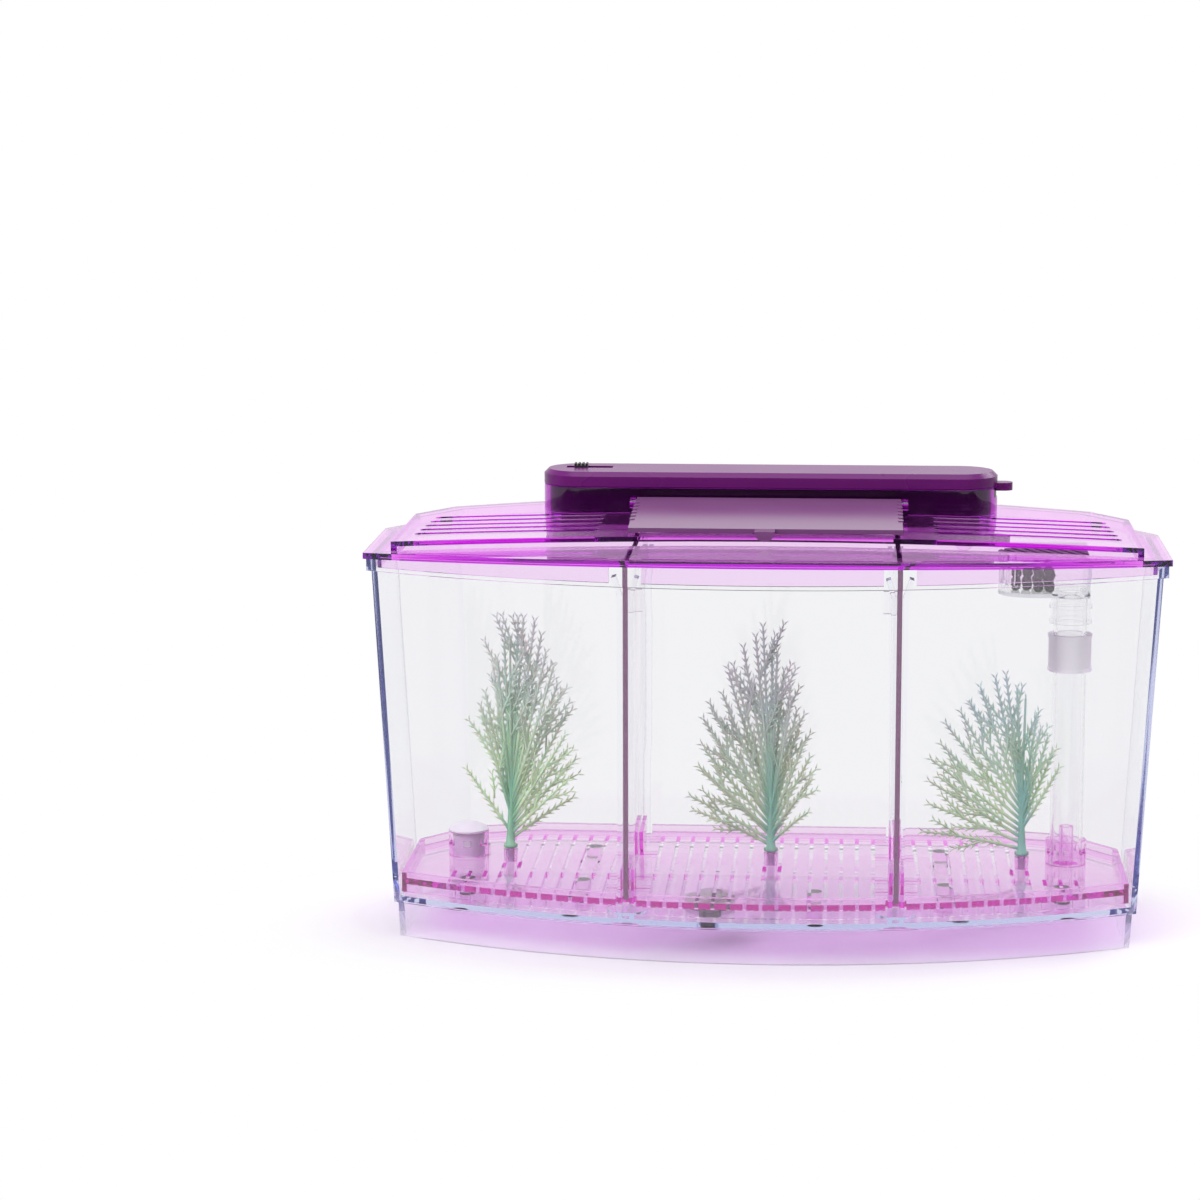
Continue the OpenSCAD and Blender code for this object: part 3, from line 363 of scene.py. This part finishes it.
def make_grain_group():
    """Fine grain of opaque mouldings: a height, and a slight light and dark."""
    group, nodes, links = new_group(
        "moulded_grain",
        {"Grain Scale": GRAIN_SCALE, "Patch Scale": TONE_SCALE},
        ("Height", "Tone"),
    )
    given, result = nodes.new("NodeGroupInput"), nodes.new("NodeGroupOutput")
    place = nodes.new("ShaderNodeTexCoord").outputs["Object"]
    grain = noise(nodes, links, place, given.outputs["Grain Scale"], roughness=0.7)
    patch = noise(nodes, links, place, given.outputs["Patch Scale"], detail=3.0)
    links.new(grain, result.inputs["Height"])
    links.new(patch, result.inputs["Tone"])
    return group


MOULDED = make_moulded_group()
GRAIN = make_grain_group()
print("groups", MOULDED.name, GRAIN.name)

# %% Helpers that turn a value into a look


def spread(nodes, links, value, low, high):
    """value from 0..1 to low..high."""
    ranged = nodes.new("ShaderNodeMapRange")
    ranged.inputs["To Min"].default_value = low
    ranged.inputs["To Max"].default_value = high
    links.new(value, ranged.inputs["Value"])
    return ranged.outputs[0]


def bump(nodes, links, height, strength, distance):
    node = nodes.new("ShaderNodeBump")
    node.inputs["Strength"].default_value = strength
    node.inputs["Distance"].default_value = distance
    links.new(height, node.inputs["Height"])
    return node.outputs["Normal"]


def two_tone(nodes, links, factor, first, second):
    """From the first colour to the second as factor goes from 0 to 1.

    The first is a colour, or the socket of an earlier mix.
    """
    mix = nodes.new("ShaderNodeMix")
    mix.data_type = "RGBA"
    if isinstance(first, tuple):
        mix.inputs["A"].default_value = (*first, 1)
    else:
        links.new(first, mix.inputs["A"])
    mix.inputs["B"].default_value = (*second, 1)
    links.new(factor, mix.inputs["Factor"])
    return mix.outputs["Result"]


# %% [markdown]
# ## Clear and tinted plastic
# Acrylic has its colour inside it. A thin wall seen square on is nearly clear, and the same
# wall seen along its edge is dark, because light has gone a long way through it. So the
# surface is glass with little or no colour, and the tint is an absorption inside the closed
# solid. A tint that takes out red or blue as well as green turns long paths black, so the
# lid and the plate keep both above 0.9. Lamps pass through by a transparent shader for
# shadow rays, since true caustics would be slow.

# %% Plastics that let light through
ACRYLIC_IOR = 1.49
CLEAR_HAZE = (0.0, 0.09)
WAVE_STRENGTH = 0.05
WAVE_HEIGHT = 0.4 * MM
# The painted shade's colour changes over this many mm to each side of its height
PAINTED_SHADE_EDGE = 0.4  # mm to each side of a zone's height


def painted_shade_above(nodes, links, skin, height, colour):
    """The skin's colour up to a height in mm, and a painted shade colour above it."""
    split = nodes.new("ShaderNodeSeparateXYZ")
    links.new(nodes.new("ShaderNodeTexCoord").outputs["Object"], split.inputs[0])
    start, end = (height - PAINTED_SHADE_EDGE) * MM, (height + PAINTED_SHADE_EDGE) * MM
    above = level(nodes, links, split.outputs["Z"], start, end, 0.0, 1.0)
    return two_tone(nodes, links, above, skin, colour)


def clear_plastic(name, tint, density, shade, haze=CLEAR_HAZE, skin=(1, 1, 1), painted_shade=None):
    """tint and density colour the inside, shade is the colour of its shadow.

    skin is the share of light that a pass through the two faces of a wall lets by. The last
    argument is (height, colour) for a painted shade: above that height the surface takes the
    colour, which stands in for a thicker part of the moulding and for something dark seen through
    it.
    """
    mat, nodes, links, plastic = new_material(name)
    plastic.inputs["Base Color"].default_value = (*skin, 1)
    plastic.inputs["IOR"].default_value = ACRYLIC_IOR
    plastic.inputs["Transmission Weight"].default_value = 1
    surface = place_group(nodes, MOULDED, wave_scale=WAVE_SCALE, haze_scale=HAZE_SCALE)
    wavy = bump(nodes, links, surface.outputs["Height"], WAVE_STRENGTH, WAVE_HEIGHT)
    links.new(wavy, plastic.inputs["Normal"])
    hazy = spread(nodes, links, surface.outputs["Haze"], *haze)
    links.new(hazy, plastic.inputs["Roughness"])
    # Painted shade: a darker surface colour above a height, for a thicker part and something dark
    # seen through it
    if painted_shade:
        links.new(painted_shade_above(nodes, links, skin, *painted_shade), plastic.inputs["Base Color"])
    lamps_pass = nodes.new("ShaderNodeBsdfTransparent")
    lamps_pass.inputs["Color"].default_value = (*shade, 1)
    shadow = nodes.new("ShaderNodeLightPath").outputs["Is Shadow Ray"]
    both = mix_shaders(nodes, links, shadow, plastic.outputs[0], lamps_pass.outputs[0])
    links.new(both, nodes["Material Output"].inputs["Surface"])
    inside = nodes.new("ShaderNodeVolumeAbsorption")
    inside.inputs["Color"].default_value = (*tint, 1)
    inside.inputs["Density"].default_value = density
    links.new(inside.outputs[0], nodes["Material Output"].inputs["Volume"])
    return mat


# %% The box's clear and violet plastics
# In mm. Above it the lid takes a painted shade: on the turret, and on the middle of the crowned
# platform
LID_PAINTED_SHADE_FROM = 130.9
CLEAR_TANK = clear_plastic(
    "clear_tank", tint=(0.35, 0.40, 0.80), density=9, shade=(0.93, 0.925, 0.945),
    skin=(0.955, 0.955, 0.96),
)
CLEAR_TUBE = clear_plastic(
    "clear_tube", tint=(0.45, 0.45, 0.55), density=30, shade=(0.93, 0.93, 0.94)
)
VIOLET_LID = clear_plastic(
    "violet_lid", tint=(0.91, 0.05, 0.95), density=200, shade=(0.88, 0.74, 0.91),
    painted_shade=(LID_PAINTED_SHADE_FROM, (0.42, 0.05, 0.46)),
)
VIOLET_PLATE = clear_plastic(
    "violet_plate", tint=(0.95, 0.04, 0.91), density=125, shade=(0.86, 0.76, 0.89)
)
VIOLET_DIVIDER = clear_plastic(
    "violet_divider", tint=(0.58, 0.27, 0.54), density=36, shade=(0.95, 0.91, 0.96)
)
FROST_SLEEVE = clear_plastic(
    "frost_sleeve", tint=(0.8, 0.8, 0.82), density=40, shade=(0.8, 0.8, 0.8),
    haze=(0.45, 0.6),
)
print("materials so far", [mat.name for mat in bpy.data.materials])

# %% [markdown]
# ## Opaque plastic
# The lamp's cap and body are a satin violet moulding. The switch, the louvres and the plug
# are dark. Each has a fine grain in its height and a slight change of tone, which keeps a
# large even face such as the cap's from looking like flat paint.

# %% Opaque plastics
PLASTIC_IOR = 1.5
GRAIN_HEIGHT = 0.05 * MM


def opaque_plastic(name, dark, light, roughness, grain=0.15, gloss=0.5):
    """dark and light are its two tones; roughness is a range, grain a bump strength."""
    mat, nodes, links, plastic = new_material(name)
    plastic.inputs["IOR"].default_value = PLASTIC_IOR
    plastic.inputs["Specular IOR Level"].default_value = gloss
    surface = place_group(nodes, GRAIN)
    patches = surface.outputs["Tone"]
    links.new(two_tone(nodes, links, patches, dark, light), plastic.inputs["Base Color"])
    links.new(spread(nodes, links, patches, *roughness), plastic.inputs["Roughness"])
    rough = bump(nodes, links, surface.outputs["Height"], grain, GRAIN_HEIGHT)
    links.new(rough, plastic.inputs["Normal"])
    return mat


CAP_VIOLET = opaque_plastic(
    "cap_violet", (0.125, 0.003, 0.135), (0.155, 0.006, 0.165), (0.24, 0.32), gloss=0.22
)
BODY_VIOLET = opaque_plastic(
    "body_violet", (0.06, 0.002, 0.065), (0.08, 0.004, 0.085), (0.16, 0.24), gloss=0.3
)
HATCH_MAUVE = opaque_plastic(
    "hatch_mauve", (0.19, 0.07, 0.195), (0.225, 0.09, 0.23), (0.14, 0.22), grain=0.05, gloss=0.3
)
BLACK = opaque_plastic("black_plastic", (0.012, 0.012, 0.013), (0.03, 0.03, 0.032), (0.4, 0.55))
SMOKE = opaque_plastic("smoke_louvres", (0.03, 0.03, 0.034), (0.07, 0.07, 0.075), (0.4, 0.5))
RUBBER = opaque_plastic(
    "grey_rubber", (0.12, 0.12, 0.125), (0.2, 0.2, 0.205), (0.55, 0.75), grain=0.3
)
WHITE_CAP = opaque_plastic(
    "white_cap", (0.72, 0.72, 0.73), (0.82, 0.82, 0.83), (0.3, 0.4), grain=0.05
)
BOARD = opaque_plastic("board_green", (0.01, 0.10, 0.04), (0.02, 0.15, 0.06), (0.35, 0.5))
DIODE = opaque_plastic("diode_yellow", (0.75, 0.68, 0.35), (0.85, 0.8, 0.5), (0.3, 0.4))
LENS = opaque_plastic(
    "milky_lens", (0.75, 0.76, 0.78), (0.85, 0.86, 0.88), (0.3, 0.4), grain=0.05
)
CELL = opaque_plastic("cell_wrap", (0.5, 0.33, 0.08), (0.62, 0.42, 0.12), (0.3, 0.4))
LEAD = opaque_plastic("red_lead", (0.4, 0.02, 0.015), (0.5, 0.03, 0.02), (0.4, 0.5))
CHARCOAL = opaque_plastic(
    "charcoal", (0.008, 0.008, 0.009), (0.03, 0.03, 0.03), (0.7, 0.95), grain=1.0
)
print("materials so far", len(bpy.data.materials))

# %% [markdown]
# The hinge pins, the screws and the contacts are drawn steel. Bare metal has no colour
# patches, so only its roughness changes, with a finer grain than the plastics have.

# %% Steel
STEEL_COLOUR = (0.62, 0.62, 0.64)
STEEL_ROUGHNESS = (0.25, 0.4)


def make_steel():
    mat, nodes, links, steel = new_material("drawn_steel")
    steel.inputs["Base Color"].default_value = (*STEEL_COLOUR, 1)
    steel.inputs["Metallic"].default_value = 1
    surface = place_group(nodes, GRAIN, grain_scale=METAL_GRAIN_SCALE)
    worn = spread(nodes, links, surface.outputs["Height"], *STEEL_ROUGHNESS)
    links.new(worn, steel.inputs["Roughness"])
    return mat


STEEL = make_steel()
print("steel roughness", STEEL_ROUGHNESS)

# %% [markdown]
# ## Finishes on the CAD's shapes
# The hard parts keep the shapes of the frame. Their meshes aren't touched: a finish goes
# into each object's material slots. One table says which finish each node gets. Only the
# three plants aren't in it, because the pieces made further down stand for them.

# %% Give every CAD node its finish
FINISH = {
    CLEAR_TANK: ["tank_shell"],
    CLEAR_TUBE: ["uplift_tube", "cartridge_case"],
    VIOLET_LID: ["lid"],
    VIOLET_PLATE: ["filter_plate"],
    VIOLET_DIVIDER: ["divider_left", "divider_right"],
    FROST_SLEEVE: ["tube_sleeve"],
    CAP_VIOLET: ["lamp_cap"],
    BODY_VIOLET: ["lamp_body"],
    HATCH_MAUVE: ["feeding_hatch"],
    BLACK: ["switch_knob", "switch_body", "battery_tray"],
    SMOKE: ["cartridge_lid"],
    RUBBER: ["drain_plug"],
    WHITE_CAP: ["port_cap"],
    BOARD: ["led_board"],
    DIODE: ["leds"],
    LENS: ["lamp_lens"],
    CELL: ["battery_left", "battery_right"],
    LEAD: ["lamp_wires"],
    CHARCOAL: ["carbon_grains"],
    STEEL: ["hinge_pins", "board_screws", "battery_contacts"],
}
for finish, names in FINISH.items():
    for name in names:
        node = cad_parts[name]
        if not node.material_slots:
            node.data.materials.append(finish)
        for material_slot in node.material_slots:
            material_slot.material = finish
print("finished nodes", sum(len(names) for names in FINISH.values()), "of", len(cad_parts))

# %% [markdown]
# ## Plants
# Each plant is a soft moulding: a peg with a collar, a stem, and about two dozen long twigs
# that fan out of it, with shorter ones on their sides. Every twig carries a row of small
# arrowheads that point to its tip. Drawn by hand this would be thousands of leaves, so only
# the twigs are placed here, by a seeded rule, and Geometry Nodes sets the leaves along them.
# Lengths on the twigs are in mm until they go into a curve.

# %% One long twig
TIP_LOWEST, TIP_RISE, TIP_POWER = 0.16, 0.84, 0.85
TIP_SCATTER, REACH_SCATTER = (0.94, 1.0), (0.85, 1.0)
SPREAD_POWER = 0.8
ROOT_LEAN, ROOT_LOWEST, ROOT_RISE = 6, 2.5, 20
BULGE_OUT, BULGE_UP, BULGE_TURN = 0.05, 0.06, 0.4
TWIG_RADIUS, TWIG_STEPS = 0.62, 8


def bent_path(start, end, lift, steps=TWIG_STEPS):
    """Points from start to end that bulge by lift."""
    middle = start.lerp(end, 0.5) + lift
    points = []
    for i in range(steps + 1):
        t = i / steps
        points.append(start.lerp(middle, t).lerp(middle.lerp(end, t), t))
    return points


def long_twig(plant, side, t, rng):
    """A twig on one side, from the lowest and widest at t = 0 to the upright one at t = 1."""
    foot, height, lean = Vector(plant["foot"]), plant["height"], plant["lean"]
    reach = plant["right"] if side > 0 else plant["left"]
    width = math.cos(t * math.pi / 2) ** SPREAD_POWER
    top = height * (TIP_LOWEST + TIP_RISE * t**TIP_POWER) * rng.uniform(*TIP_SCATTER)
    across = side * reach * width * rng.uniform(*REACH_SCATTER) + lean * top
    deep = plant["depth"] * width * rng.uniform(-1, 1)
    start = foot + Vector((lean * ROOT_LEAN * t, 0, ROOT_LOWEST + ROOT_RISE * t))
    end = foot + Vector((across, deep, top))
    bulge = (side * BULGE_OUT * reach * (1 - t), 0, BULGE_UP * height * (BULGE_TURN - t))
    return bent_path(start, end, Vector(bulge))


print("points on a long twig", TWIG_STEPS + 1)

# %% Side twigs and the whole fan
SIDE_RADIUS, SIDE_STEPS = 0.45, 5
SIDE_ALONG, SIDE_ACROSS, SIDE_LENGTH, SIDE_BULGE = 0.9, 0.42, 0.3, 0.6
SIDE_SCATTER = (-0.15, 0.15)
BARE_UNDER, FEW_UNDER = 26, 50  # shorter twigs have no side twigs, or only two
FEW_PLACES, MORE_PLACES = (3, 5), (3, 4, 6)


def side_twigs(points, rng):
    """Shorter twigs that leave a long one by turns on its two sides."""
    length = (points[-1] - points[0]).length
    found = []
    if length < BARE_UNDER:
        return found
    flip = rng.choice((-1, 1))
    for place in FEW_PLACES if length < FEW_UNDER else MORE_PLACES:
        start, along = points[place], (points[place + 1] - points[place]).normalized()
        across = Vector((along.z, 0, -along.x)) * flip
        scatter = Vector((0, rng.uniform(*SIDE_SCATTER), 0))
        way = along * SIDE_ALONG + across * SIDE_ACROSS + scatter
        tip = start + way * length * SIDE_LENGTH
        found.append((bent_path(start, tip, across * SIDE_BULGE, SIDE_STEPS), SIDE_RADIUS))
        flip = -flip
    return found


def twig_paths(plant, rng):
    """Each twig as (points, starting radius)."""
    paths = []
    count = plant["twigs"]
    for i in range(count):
        points = long_twig(plant, 1 if i % 2 else -1, i / (count - 1), rng)
        paths.append((points, TWIG_RADIUS))
        paths += side_twigs(points, rng)
    return paths


def clear_of(points, column):
    """Whether a twig keeps off an upright column: (x, y, radius, lowest, highest)."""
    x, y, radius, low, high = column
    return all(
        math.hypot(p.x - x, p.y - y) > radius or not low < p.z < high for p in points
    )


print("side twigs leave a long twig at its points", MORE_PLACES)

# %% [markdown]
# The twigs and the stem are splines of one curve object. A curve point carries a radius, so
# the taper of a twig and the collar of the peg are only numbers here, and the thickness is
# made later by one node.

# %% Curve of one plant
TWIG_TAPER = 0.45
# Height above the foot and radius, up the peg, its collar and the stem
STEM_PROFILE = [
    (-4.2, 0.9), (-4.0, 1.2), (0.6, 1.2), (0.62, 2.3), (1.7, 2.3),
    (1.75, 1.7), (6, 1.35), (14, 1.0), (24, 0.7),
]
STEM_LEANS_FROM, STEM_LEAN = 3, 0.3
STEM_TILT = 1


def add_spline(data, rows):
    """A spline from rows of (place in mm, radius)."""
    spline = data.splines.new("POLY")
    spline.points.add(len(rows) - 1)
    for (place, radius), spot in zip(rows, spline.points):
        spot.co = (*(place * MM), 1)
        spot.radius = radius
    return spline


def add_stem(data, plant):
    foot, rows = Vector(plant["foot"]), []
    for height, radius in STEM_PROFILE:
        shift = plant["lean"] * max(height - STEM_LEANS_FROM, 0) * STEM_LEAN
        rows.append((foot + Vector((shift, 0, height)), radius))
    for spot in add_spline(data, rows).points:
        spot.tilt = STEM_TILT


def plant_curve(name, plant):
    """A curve object with a spline for each twig, and one for the peg, collar and stem."""
    rng = random.Random(plant["seed"])
    data = bpy.data.curves.new(name, "CURVE")
    data.dimensions = "3D"
    data.twist_mode = "Z_UP"
    kept = [
        path for path in twig_paths(plant, rng)
        if all(clear_of(path[0], column) for column in plant["keep_off"])
    ]
    for points, radius in kept:
        last = len(points) - 1
        add_spline(data, [(p, radius * (1 - TWIG_TAPER * i / last)) for i, p in enumerate(points)])
    add_stem(data, plant)
    curve = bpy.data.objects.new(name, data)
    scene.collection.objects.link(curve)
    return curve, len(kept)


print("stem height", STEM_PROFILE[-1][0], "mm")

# %% One leaf
LEAF_ROOT = (0, 0, -0.3)
# One half of the V, at the +X side: its low, back, front, inner and tip points
LEAF_HALF = (
    (0.75, 0.0, 0.35), (0.95, 0.22, 1.05), (0.95, -0.22, 1.05), (0.35, 0.0, 1.15), (1.75, 0.0, 2.5),
)


def arrowhead():
    """Two small pointed leaves in a V, 2.8 mm long, pointing along +Z, flat across X."""
    points, faces = [LEAF_ROOT], []
    for side in (-1, 1):
        first = len(points)
        points += [(side * x, y, z) for x, y, z in LEAF_HALF]
        low, back, front, inner, tip = range(first, first + 5)
        ring = [
            (0, low, back), (0, back, inner), (0, front, low), (0, inner, front),
            (low, tip, back), (back, tip, inner), (front, tip, low), (inner, tip, front),
        ]
        faces += ring if side > 0 else [face[::-1] for face in ring]
    mesh = bpy.data.meshes.new("arrowhead")
    mesh.from_pydata([[c * MM for c in p] for p in points], [], faces)
    leaf = bpy.data.objects.new("arrowhead", mesh)
    scene.collection.objects.link(leaf)
    return leaf


leaf_shape = arrowhead()
print("leaf faces", len(leaf_shape.data.polygons))

# %% [markdown]
# The tree has two branches that meet at the end. One gives the twigs their thickness. The
# other takes points at an even spacing along each twig, turns them to the twig's direction,
# and puts an arrowhead on each, smaller towards the tip. A particle system could scatter
# leaves too, but it can't hold an even row with every leaf pointing to the tip.

# %% Thickness, and where the leaves go
RING_SIDES = 6
TWIG_LIMIT = 0.64  # a little over TWIG_RADIUS; every point of the stem is thicker


def compare(nodes, links, operation, first, second):
    """One Compare node; the second value is a socket or a number."""
    node = nodes.new("FunctionNodeCompare")
    node.operation = operation
    links.new(first, node.inputs[0])
    if isinstance(second, (int, float)):
        node.inputs[1].default_value = second
    else:
        links.new(second, node.inputs[1])
    return node.outputs[0]


def thick_twigs(nodes, links, given):
    ring = nodes.new("GeometryNodeCurvePrimitiveCircle")
    ring.inputs["Resolution"].default_value = RING_SIDES
    links.new(given.outputs["Twig Radius"], ring.inputs["Radius"])
    thick = nodes.new("GeometryNodeCurveToMesh")
    thick.inputs["Fill Caps"].default_value = True
    links.new(given.outputs["Geometry"], thick.inputs["Curve"])
    links.new(ring.outputs["Curve"], thick.inputs["Profile Curve"])
    links.new(nodes.new("GeometryNodeInputRadius").outputs[0], thick.inputs["Scale"])
    return thick.outputs[0]


def leaf_places(nodes, links, given, along):
    """Evenly spaced points, and which of them carry a leaf: not the stem's, not the bare ones."""
    even = nodes.new("GeometryNodeResampleCurve")
    even.mode = "LENGTH"
    links.new(given.outputs["Geometry"], even.inputs["Curve"])
    links.new(given.outputs["Leaf Spacing"], even.inputs["Length"])
    radius = nodes.new("GeometryNodeInputRadius").outputs[0]
    is_twig = compare(nodes, links, "LESS_THAN", radius, TWIG_LIMIT)
    past_bare = compare(nodes, links, "GREATER_THAN", along, given.outputs["Bare Length"])
    chosen = nodes.new("FunctionNodeBooleanMath")
    chosen.operation = "AND"
    links.new(is_twig, chosen.inputs[0])
    links.new(past_bare, chosen.inputs[1])
    return even.outputs[0], chosen.outputs[0]


print("sides of a twig", RING_SIDES)

# %% How a leaf is turned, and the whole tree
LEAF_SIZES = (1.1, 0.75)  # at the twig's start and at its tip
GROWTH = {
    "Twig Radius": 1.0 * MM, "Leaf Spacing": 2.35 * MM, "Leaf Scale": 1.0, "Bare Length": 0.16,
}


def leaf_turn(nodes, links):
    """The leaf's Z along the twig, and its Y along the twig's normal."""
    point_up = nodes.new("FunctionNodeAlignRotationToVector")
    point_up.axis = "Z"
    links.new(nodes.new("GeometryNodeInputTangent").outputs[0], point_up.inputs["Vector"])
    lie_flat = nodes.new("FunctionNodeAlignRotationToVector")
    lie_flat.axis = "Y"
    lie_flat.pivot_axis = "Z"
    links.new(point_up.outputs[0], lie_flat.inputs["Rotation"])
    links.new(nodes.new("GeometryNodeInputNormal").outputs[0], lie_flat.inputs["Vector"])
    return lie_flat.outputs[0]


def leaves(nodes, links, given):
    along = nodes.new("GeometryNodeSplineParameter").outputs["Factor"]
    points, chosen = leaf_places(nodes, links, given, along)
    smaller = spread(nodes, links, along, *LEAF_SIZES)
    size = combine(nodes, links, "MULTIPLY", smaller, given.outputs["Leaf Scale"])
    leaf = nodes.new("GeometryNodeObjectInfo")
    links.new(given.outputs["Leaf"], leaf.inputs["Object"])
    put = nodes.new("GeometryNodeInstanceOnPoints")
    links.new(points, put.inputs["Points"])
    links.new(chosen, put.inputs["Selection"])
    links.new(leaf.outputs["Geometry"], put.inputs["Instance"])
    links.new(leaf_turn(nodes, links), put.inputs["Rotation"])
    links.new(size, put.inputs["Scale"])
    return put.outputs[0]


def make_leaf_tree():
    tree = bpy.data.node_groups.new("leaves_on_twigs", "GeometryNodeTree")
    face = tree.interface
    face.new_socket("Geometry", in_out="INPUT", socket_type="NodeSocketGeometry")
    for label, value in GROWTH.items():
        socket = face.new_socket(label, in_out="INPUT", socket_type="NodeSocketFloat")
        socket.default_value = value
    face.new_socket("Leaf", in_out="INPUT", socket_type="NodeSocketObject")
    face.new_socket("Finish", in_out="INPUT", socket_type="NodeSocketMaterial")
    face.new_socket("Geometry", in_out="OUTPUT", socket_type="NodeSocketGeometry")
    nodes, links = tree.nodes, tree.links
    given, result = nodes.new("NodeGroupInput"), nodes.new("NodeGroupOutput")
    join = nodes.new("GeometryNodeJoinGeometry")
    links.new(thick_twigs(nodes, links, given), join.inputs[0])
    links.new(leaves(nodes, links, given), join.inputs[0])
    real = nodes.new("GeometryNodeRealizeInstances")
    links.new(join.outputs[0], real.inputs[0])
    finish = nodes.new("GeometryNodeSetMaterial")
    links.new(real.outputs[0], finish.inputs["Geometry"])
    links.new(given.outputs["Finish"], finish.inputs["Material"])
    links.new(finish.outputs[0], result.inputs[0])
    return tree


LEAF_TREE = make_leaf_tree()
print("leaf tree nodes", len(LEAF_TREE.nodes))

# %% [markdown]
# The leaves are pale and a little see-through. Near the stem they are a fresh green, and
# towards the tips they turn to a greyish mint, so the colour follows the height and the
# distance from the plant's own middle, with some unevenness. The peg stands in a violet
# cup, where a green one would look dark grey, so it is painted a pale violet: painted light
# for the light and the cup's colour that reach it there.

# %% Foliage finish
# Pale violet painted light on the peg, for the light and the cup's colour that reach it inside the
# violet cup
PEG_PAINTED_LIGHT = (0.84, 0.66, 0.88)
PEG_PAINTED_LIGHT_FADE = (0.2, 0.8)  # above the foot, under the collar
LEAF_IOR = 1.48
LEAF_SOFTNESS, LEAF_SOFT_DEPTH = 0.25, 1.5 * MM
LEAF_ROUGHNESS = (0.35, 0.5)
LEAF_BUMP, LEAF_BUMP_HEIGHT = 0.2, 0.1 * MM
UNEVEN_SCALE, UNEVEN_DETAIL, UNEVEN_RISE = 140.0, 3.0, 24
AGED_FADE = (52, 92)
STEM_FADE = (0.8, 4.5)
LOW_FADE, LEFT_ABOVE = (40, 70), 0.25


def fade(nodes, links, value, ends, low, high):
    """A smooth step between two lengths in mm."""
    return level(nodes, links, value, ends[0] * MM, ends[1] * MM, low, high)


def foliage(name, foot, stem, young, tip):
    mat, nodes, links, leaf = new_material(name)
    leaf.inputs["IOR"].default_value = LEAF_IOR
    leaf.inputs["Subsurface Weight"].default_value = LEAF_SOFTNESS
    leaf.inputs["Subsurface Scale"].default_value = LEAF_SOFT_DEPTH
    place = nodes.new("ShaderNodeTexCoord").outputs["Object"]
    split = nodes.new("ShaderNodeSeparateXYZ")
    links.new(place, split.inputs[0])
    x, z = split.outputs["X"], split.outputs["Z"]
    uneven = noise(nodes, links, place, UNEVEN_SCALE, UNEVEN_DETAIL)
    height = combine(nodes, links, "MULTIPLY_ADD", uneven, UNEVEN_RISE * MM, z)
    aged = fade(nodes, links, height, AGED_FADE, 0.0, 1.0)
    off_middle = combine(nodes, links, "SUBTRACT", x, foot[0] * MM)
    across = combine(nodes, links, "ABSOLUTE", off_middle)
    by_stem = fade(nodes, links, across, STEM_FADE, 1.0, 0.0)
    low_down = fade(nodes, links, z, LOW_FADE, 1.0, LEFT_ABOVE)
    dark = combine(nodes, links, "MULTIPLY", by_stem, low_down)
    # Painted light on the peg, up to just above the foot
    cup_top = (foot[2] + PEG_PAINTED_LIGHT_FADE[0], foot[2] + PEG_PAINTED_LIGHT_FADE[1])
    painted_light_in_cup = fade(nodes, links, z, cup_top, 1.0, 0.0)
    tone = young
    for factor, colour in ((aged, tip), (dark, stem), (painted_light_in_cup, PEG_PAINTED_LIGHT)):
        tone = two_tone(nodes, links, factor, tone, colour)
    links.new(tone, leaf.inputs["Base Color"])
    links.new(spread(nodes, links, uneven, *LEAF_ROUGHNESS), leaf.inputs["Roughness"])
    links.new(bump(nodes, links, uneven, LEAF_BUMP, LEAF_BUMP_HEIGHT), leaf.inputs["Normal"])
    return mat


print("peg tone", PEG_PAINTED_LIGHT)

# %% [markdown]
# The three plants differ only in numbers: how far they reach to each side, how they lean,
# and which columns they keep off, since the uplift tube and the capped socket stand close
# by. The tree's result becomes a plain mesh, because the export drops what is only
# instanced. Each plant stands for its CAD node and rides on that node's body.

# %% Plants
UPLIFT_COLUMN = (98.3, 10.5, 10.5, 0, 120)
CAP_COLUMN = (-98.3, 10.5, 10.5, 0, 56)
PLANTS = {
    "plant_left": {
        "body": "left_plant", "foot": (-83.5, 2, 23), "height": 82, "left": 17, "right": 21,
        "lean": 0.06, "depth": 11, "twigs": 26, "seed": 11, "keep_off": [CAP_COLUMN],
        "tones": ((0.22, 0.55, 0.32), (0.58, 0.80, 0.46), (0.56, 0.72, 0.56)),
    },
    "plant_middle": {
        "body": "middle_plant", "foot": (2, 2, 23), "height": 77, "left": 26, "right": 15,
        "lean": -0.04, "depth": 13, "twigs": 26, "seed": 5, "keep_off": [],
        "tones": ((0.22, 0.53, 0.35), (0.55, 0.75, 0.46), (0.53, 0.68, 0.54)),
    },
    "plant_right": {
        "body": "right_plant", "foot": (83.5, 2, 23), "height": 64, "left": 31, "right": 17,
        "lean": -0.10, "depth": 11, "twigs": 22, "seed": 8, "keep_off": [UPLIFT_COLUMN],
        "tones": ((0.22, 0.56, 0.40), (0.56, 0.81, 0.47), (0.46, 0.74, 0.60)),
    },
}


def grow(curve, name, tree, values):
    """The tree's result on a curve, as a plain mesh object."""
    modifier = curve.modifiers.new("grow", "NODES")
    modifier.node_group = tree
    for item in tree.interface.items_tree:
        if item.in_out == "INPUT" and item.name in values:
            modifier[item.identifier] = values[item.name]
    bpy.context.view_layer.update()
    graph = bpy.context.evaluated_depsgraph_get()
    mesh = bpy.data.meshes.new_from_object(curve.evaluated_get(graph))
    bpy.data.objects.remove(curve)
    piece = bpy.data.objects.new(name, mesh)
    scene.collection.objects.link(piece)
    return piece


for name, plant in PLANTS.items():
    twigs, kept = plant_curve(name + "_twigs", plant)
    finish = foliage("foliage_" + plant["body"], plant["foot"], *plant["tones"])
    given = {**GROWTH, "Leaf": leaf_shape, "Finish": finish}
    piece = grow(twigs, name + "_fronds", LEAF_TREE, given)
    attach(piece, plant["body"])
    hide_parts(name)
    print(name, "twigs", kept, "faces", len(piece.data.polygons))
bpy.data.objects.remove(leaf_shape)
